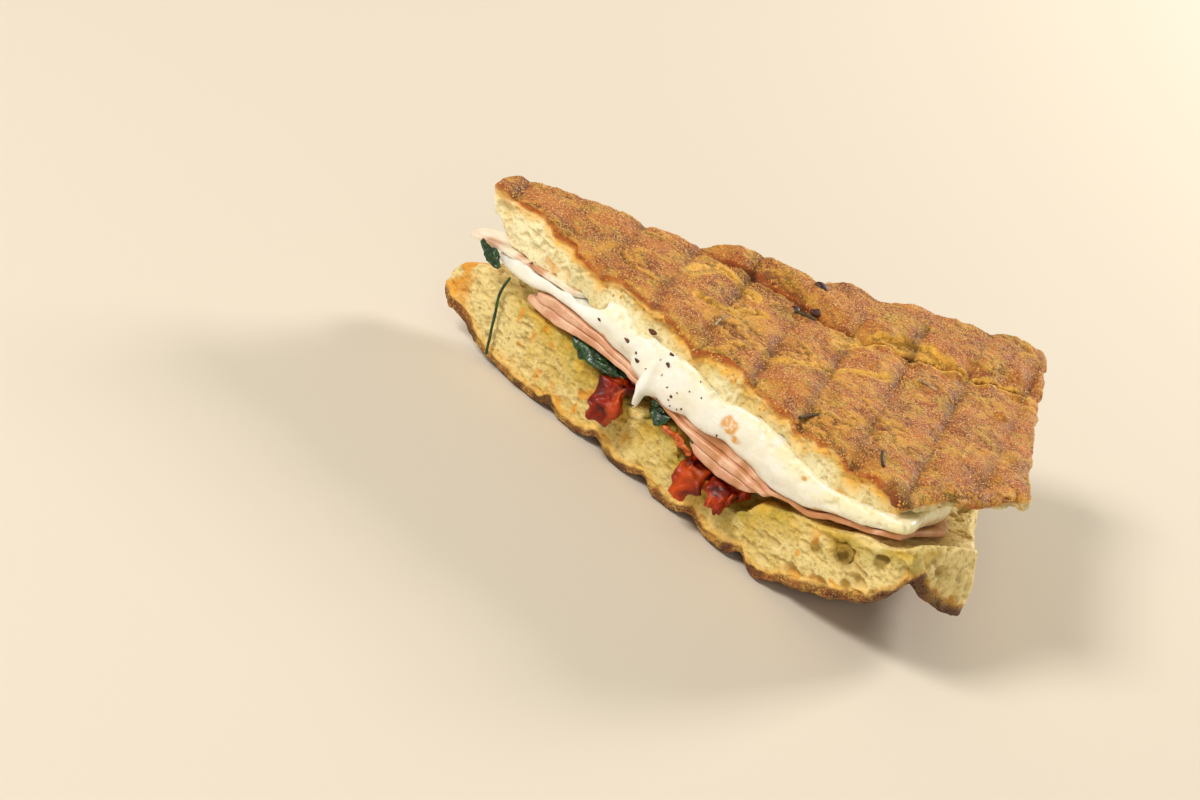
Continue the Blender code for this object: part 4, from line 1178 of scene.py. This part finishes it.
def lumps(name, places, seed, roughness, material, slot):
    """Small rough lumps, each given by its place and its three radii in millimetres."""
    mesh = bpy.data.meshes.new(name)
    with edited(mesh) as build:
        for place in places:
            add_lump(build, *place)
    points = points_of(mesh)
    push = np.stack([soft_noise(points, 1.1, seed + axis) for axis in range(3)], axis=1)
    put_points(mesh, points + roughness * push)
    piece = new_piece(name, mesh)
    store(mesh, "flesh", ramp(soft_noise(points, 1.5, seed + 3), -0.6, 0.3))
    finish_piece(piece, material, slot)


CHARRED_LUMPS = [(x, y, height + 0.1, 1.2 * radius, radius, 0.6 * radius)
                 for (x, y, radius), height in zip(CHARRED, char_heights)]
TOMATO_BITS = [(69.4, -0.5, 17.6, 2.0, 0.6, 0.9), (72.6, -0.5, 17.2, 2.0, 0.6, 1.1),
               (75.6, -0.6, 16.4, 1.9, 0.7, 1.0), (84.6, -1.2, 12.6, 1.4, 0.8, 1.6)]
GREEN_BITS = [(64.4, -1.9, 22.0, 1.3, 0.5, 0.6), (66.0, -1.6, 21.2, 1.0, 0.5, 0.5),
              (50.2, -1.6, 21.6, 2.2, 0.8, 0.9), (47.0, -1.2, 20.8, 2.4, 0.9, 0.8),
              (76.4, -1.3, 20.2, 1.0, 0.4, 0.4)]
FLAKES = [(55.4, 36.2, 1.1), (51.0, 31.2, 0.9), (56.1, 28.7, 1.0), (62.2, 34.4, 0.7), (63.1, 32.5, 0.6),
          (56.9, 22.6, 0.6), (54.7, 30.1, 0.5), (41.9, 30.4, 0.5), (18.3, 30.4, 0.6)]
flake_lumps = []
for x, z, radius in FLAKES:
    nearest = cheese_faces[np.argmin(np.hypot(cheese_faces[:, 0] - x, cheese_faces[:, 2] - z))]
    flake_lumps.append((x, nearest[1] - 0.05, z, radius, 0.3, 0.55 * radius))
lumps("pepper_pieces", flake_lumps, 17, 0.35, PEPPER, "cheese")
lumps("charred_bits", CHARRED_LUMPS, 1, 0.35, CHAR, "top_bread")
lumps("tomato_bits", TOMATO_BITS, 5, 0.6, SOFT_FLESH, "tomato")
lumps("spinach_bits", GREEN_BITS, 9, 0.6, SPINACH, "spinach")

# %% [markdown]
# ## Camera, floor and light
# The photo looks down on the cut at about 29 degrees from the right, and the sandwich leans, so
# the camera is rolled instead: the sandwich itself lies flat. The floor is one plain pale sheet,
# lit by large soft lamps.

# %% Camera
CAMERA_PLACE = Vector((0.2918, -0.62293, 0.3761))
AZIMUTH, ELEVATION, ROLL = (math.radians(angle) for angle in (28.46, 29.0, 24.0))
LENS, SENSOR = 96.0, 36.0
back = Vector((math.sin(AZIMUTH) * math.cos(ELEVATION), -math.cos(AZIMUTH) * math.cos(ELEVATION),
               math.sin(ELEVATION)))
level_up = (Vector((0.0, 0.0, 1.0)) - back.z * back).normalized()
level_right = level_up.cross(back)
up = math.cos(ROLL) * level_up - math.sin(ROLL) * level_right
right = up.cross(back)
camera_data = bpy.data.cameras.new("camera")
camera_data.lens = LENS
camera_data.sensor_width = SENSOR
camera_data.clip_start = 0.05
camera = bpy.data.objects.new("camera", camera_data)
bpy.context.scene.collection.objects.link(camera)
turned = Matrix((right, up, back)).transposed().to_4x4()
camera.matrix_world = Matrix.Translation(CAMERA_PLACE) @ turned
bpy.context.scene.camera = camera
print("camera at", [round(value, 3) for value in CAMERA_PLACE])

# %% Floor
FLOOR_SIDE, FLOOR_DROP = 14.0, 0.0002
floor_mesh = bpy.data.meshes.new("floor")
with edited(floor_mesh) as build:
    bmesh.ops.create_grid(build, x_segments=1, y_segments=1, size=FLOOR_SIDE / 2.0)
floor = new_piece("floor", floor_mesh)
floor_finish = new_material("pale floor", 0.9, Base_Color=colour(223, 213, 196), Specular_IOR_Level=0.1)[0]
floor_mesh.materials.append(floor_finish)
floor.location.z = -FLOOR_DROP

# %% Light
LAMP_AIM = Vector((0.0, 0.0, 0.02))


def soft_lamp(name, place, side, watts, tint):
    data = bpy.data.lights.new(name, "AREA")
    data.shape = "SQUARE"
    data.size = side
    data.energy = watts
    data.color = tint
    lamp = bpy.data.objects.new(name, data)
    lamp.location = place
    lamp.rotation_euler = (LAMP_AIM - Vector(place)).to_track_quat("-Z", "Y").to_euler()
    bpy.context.scene.collection.objects.link(lamp)


soft_lamp("key", (-0.5, -0.8, 0.95), 0.4, 12.5, (1.0, 0.97, 0.93))
soft_lamp("fill", (0.9, -0.8, 0.5), 0.9, 3.4, (1.0, 0.96, 0.92))
soft_lamp("back", (0.2, 1.0, 0.5), 0.3, 10.5, (1.0, 0.97, 0.93))
world = bpy.data.worlds.new("studio")
world.use_nodes = True
backdrop = world.node_tree.nodes["Background"].inputs
backdrop["Color"].default_value = colour(243, 233, 212)
backdrop["Strength"].default_value = 0.33
bpy.context.scene.view_settings.view_transform = "Standard"
bpy.context.scene.world = world
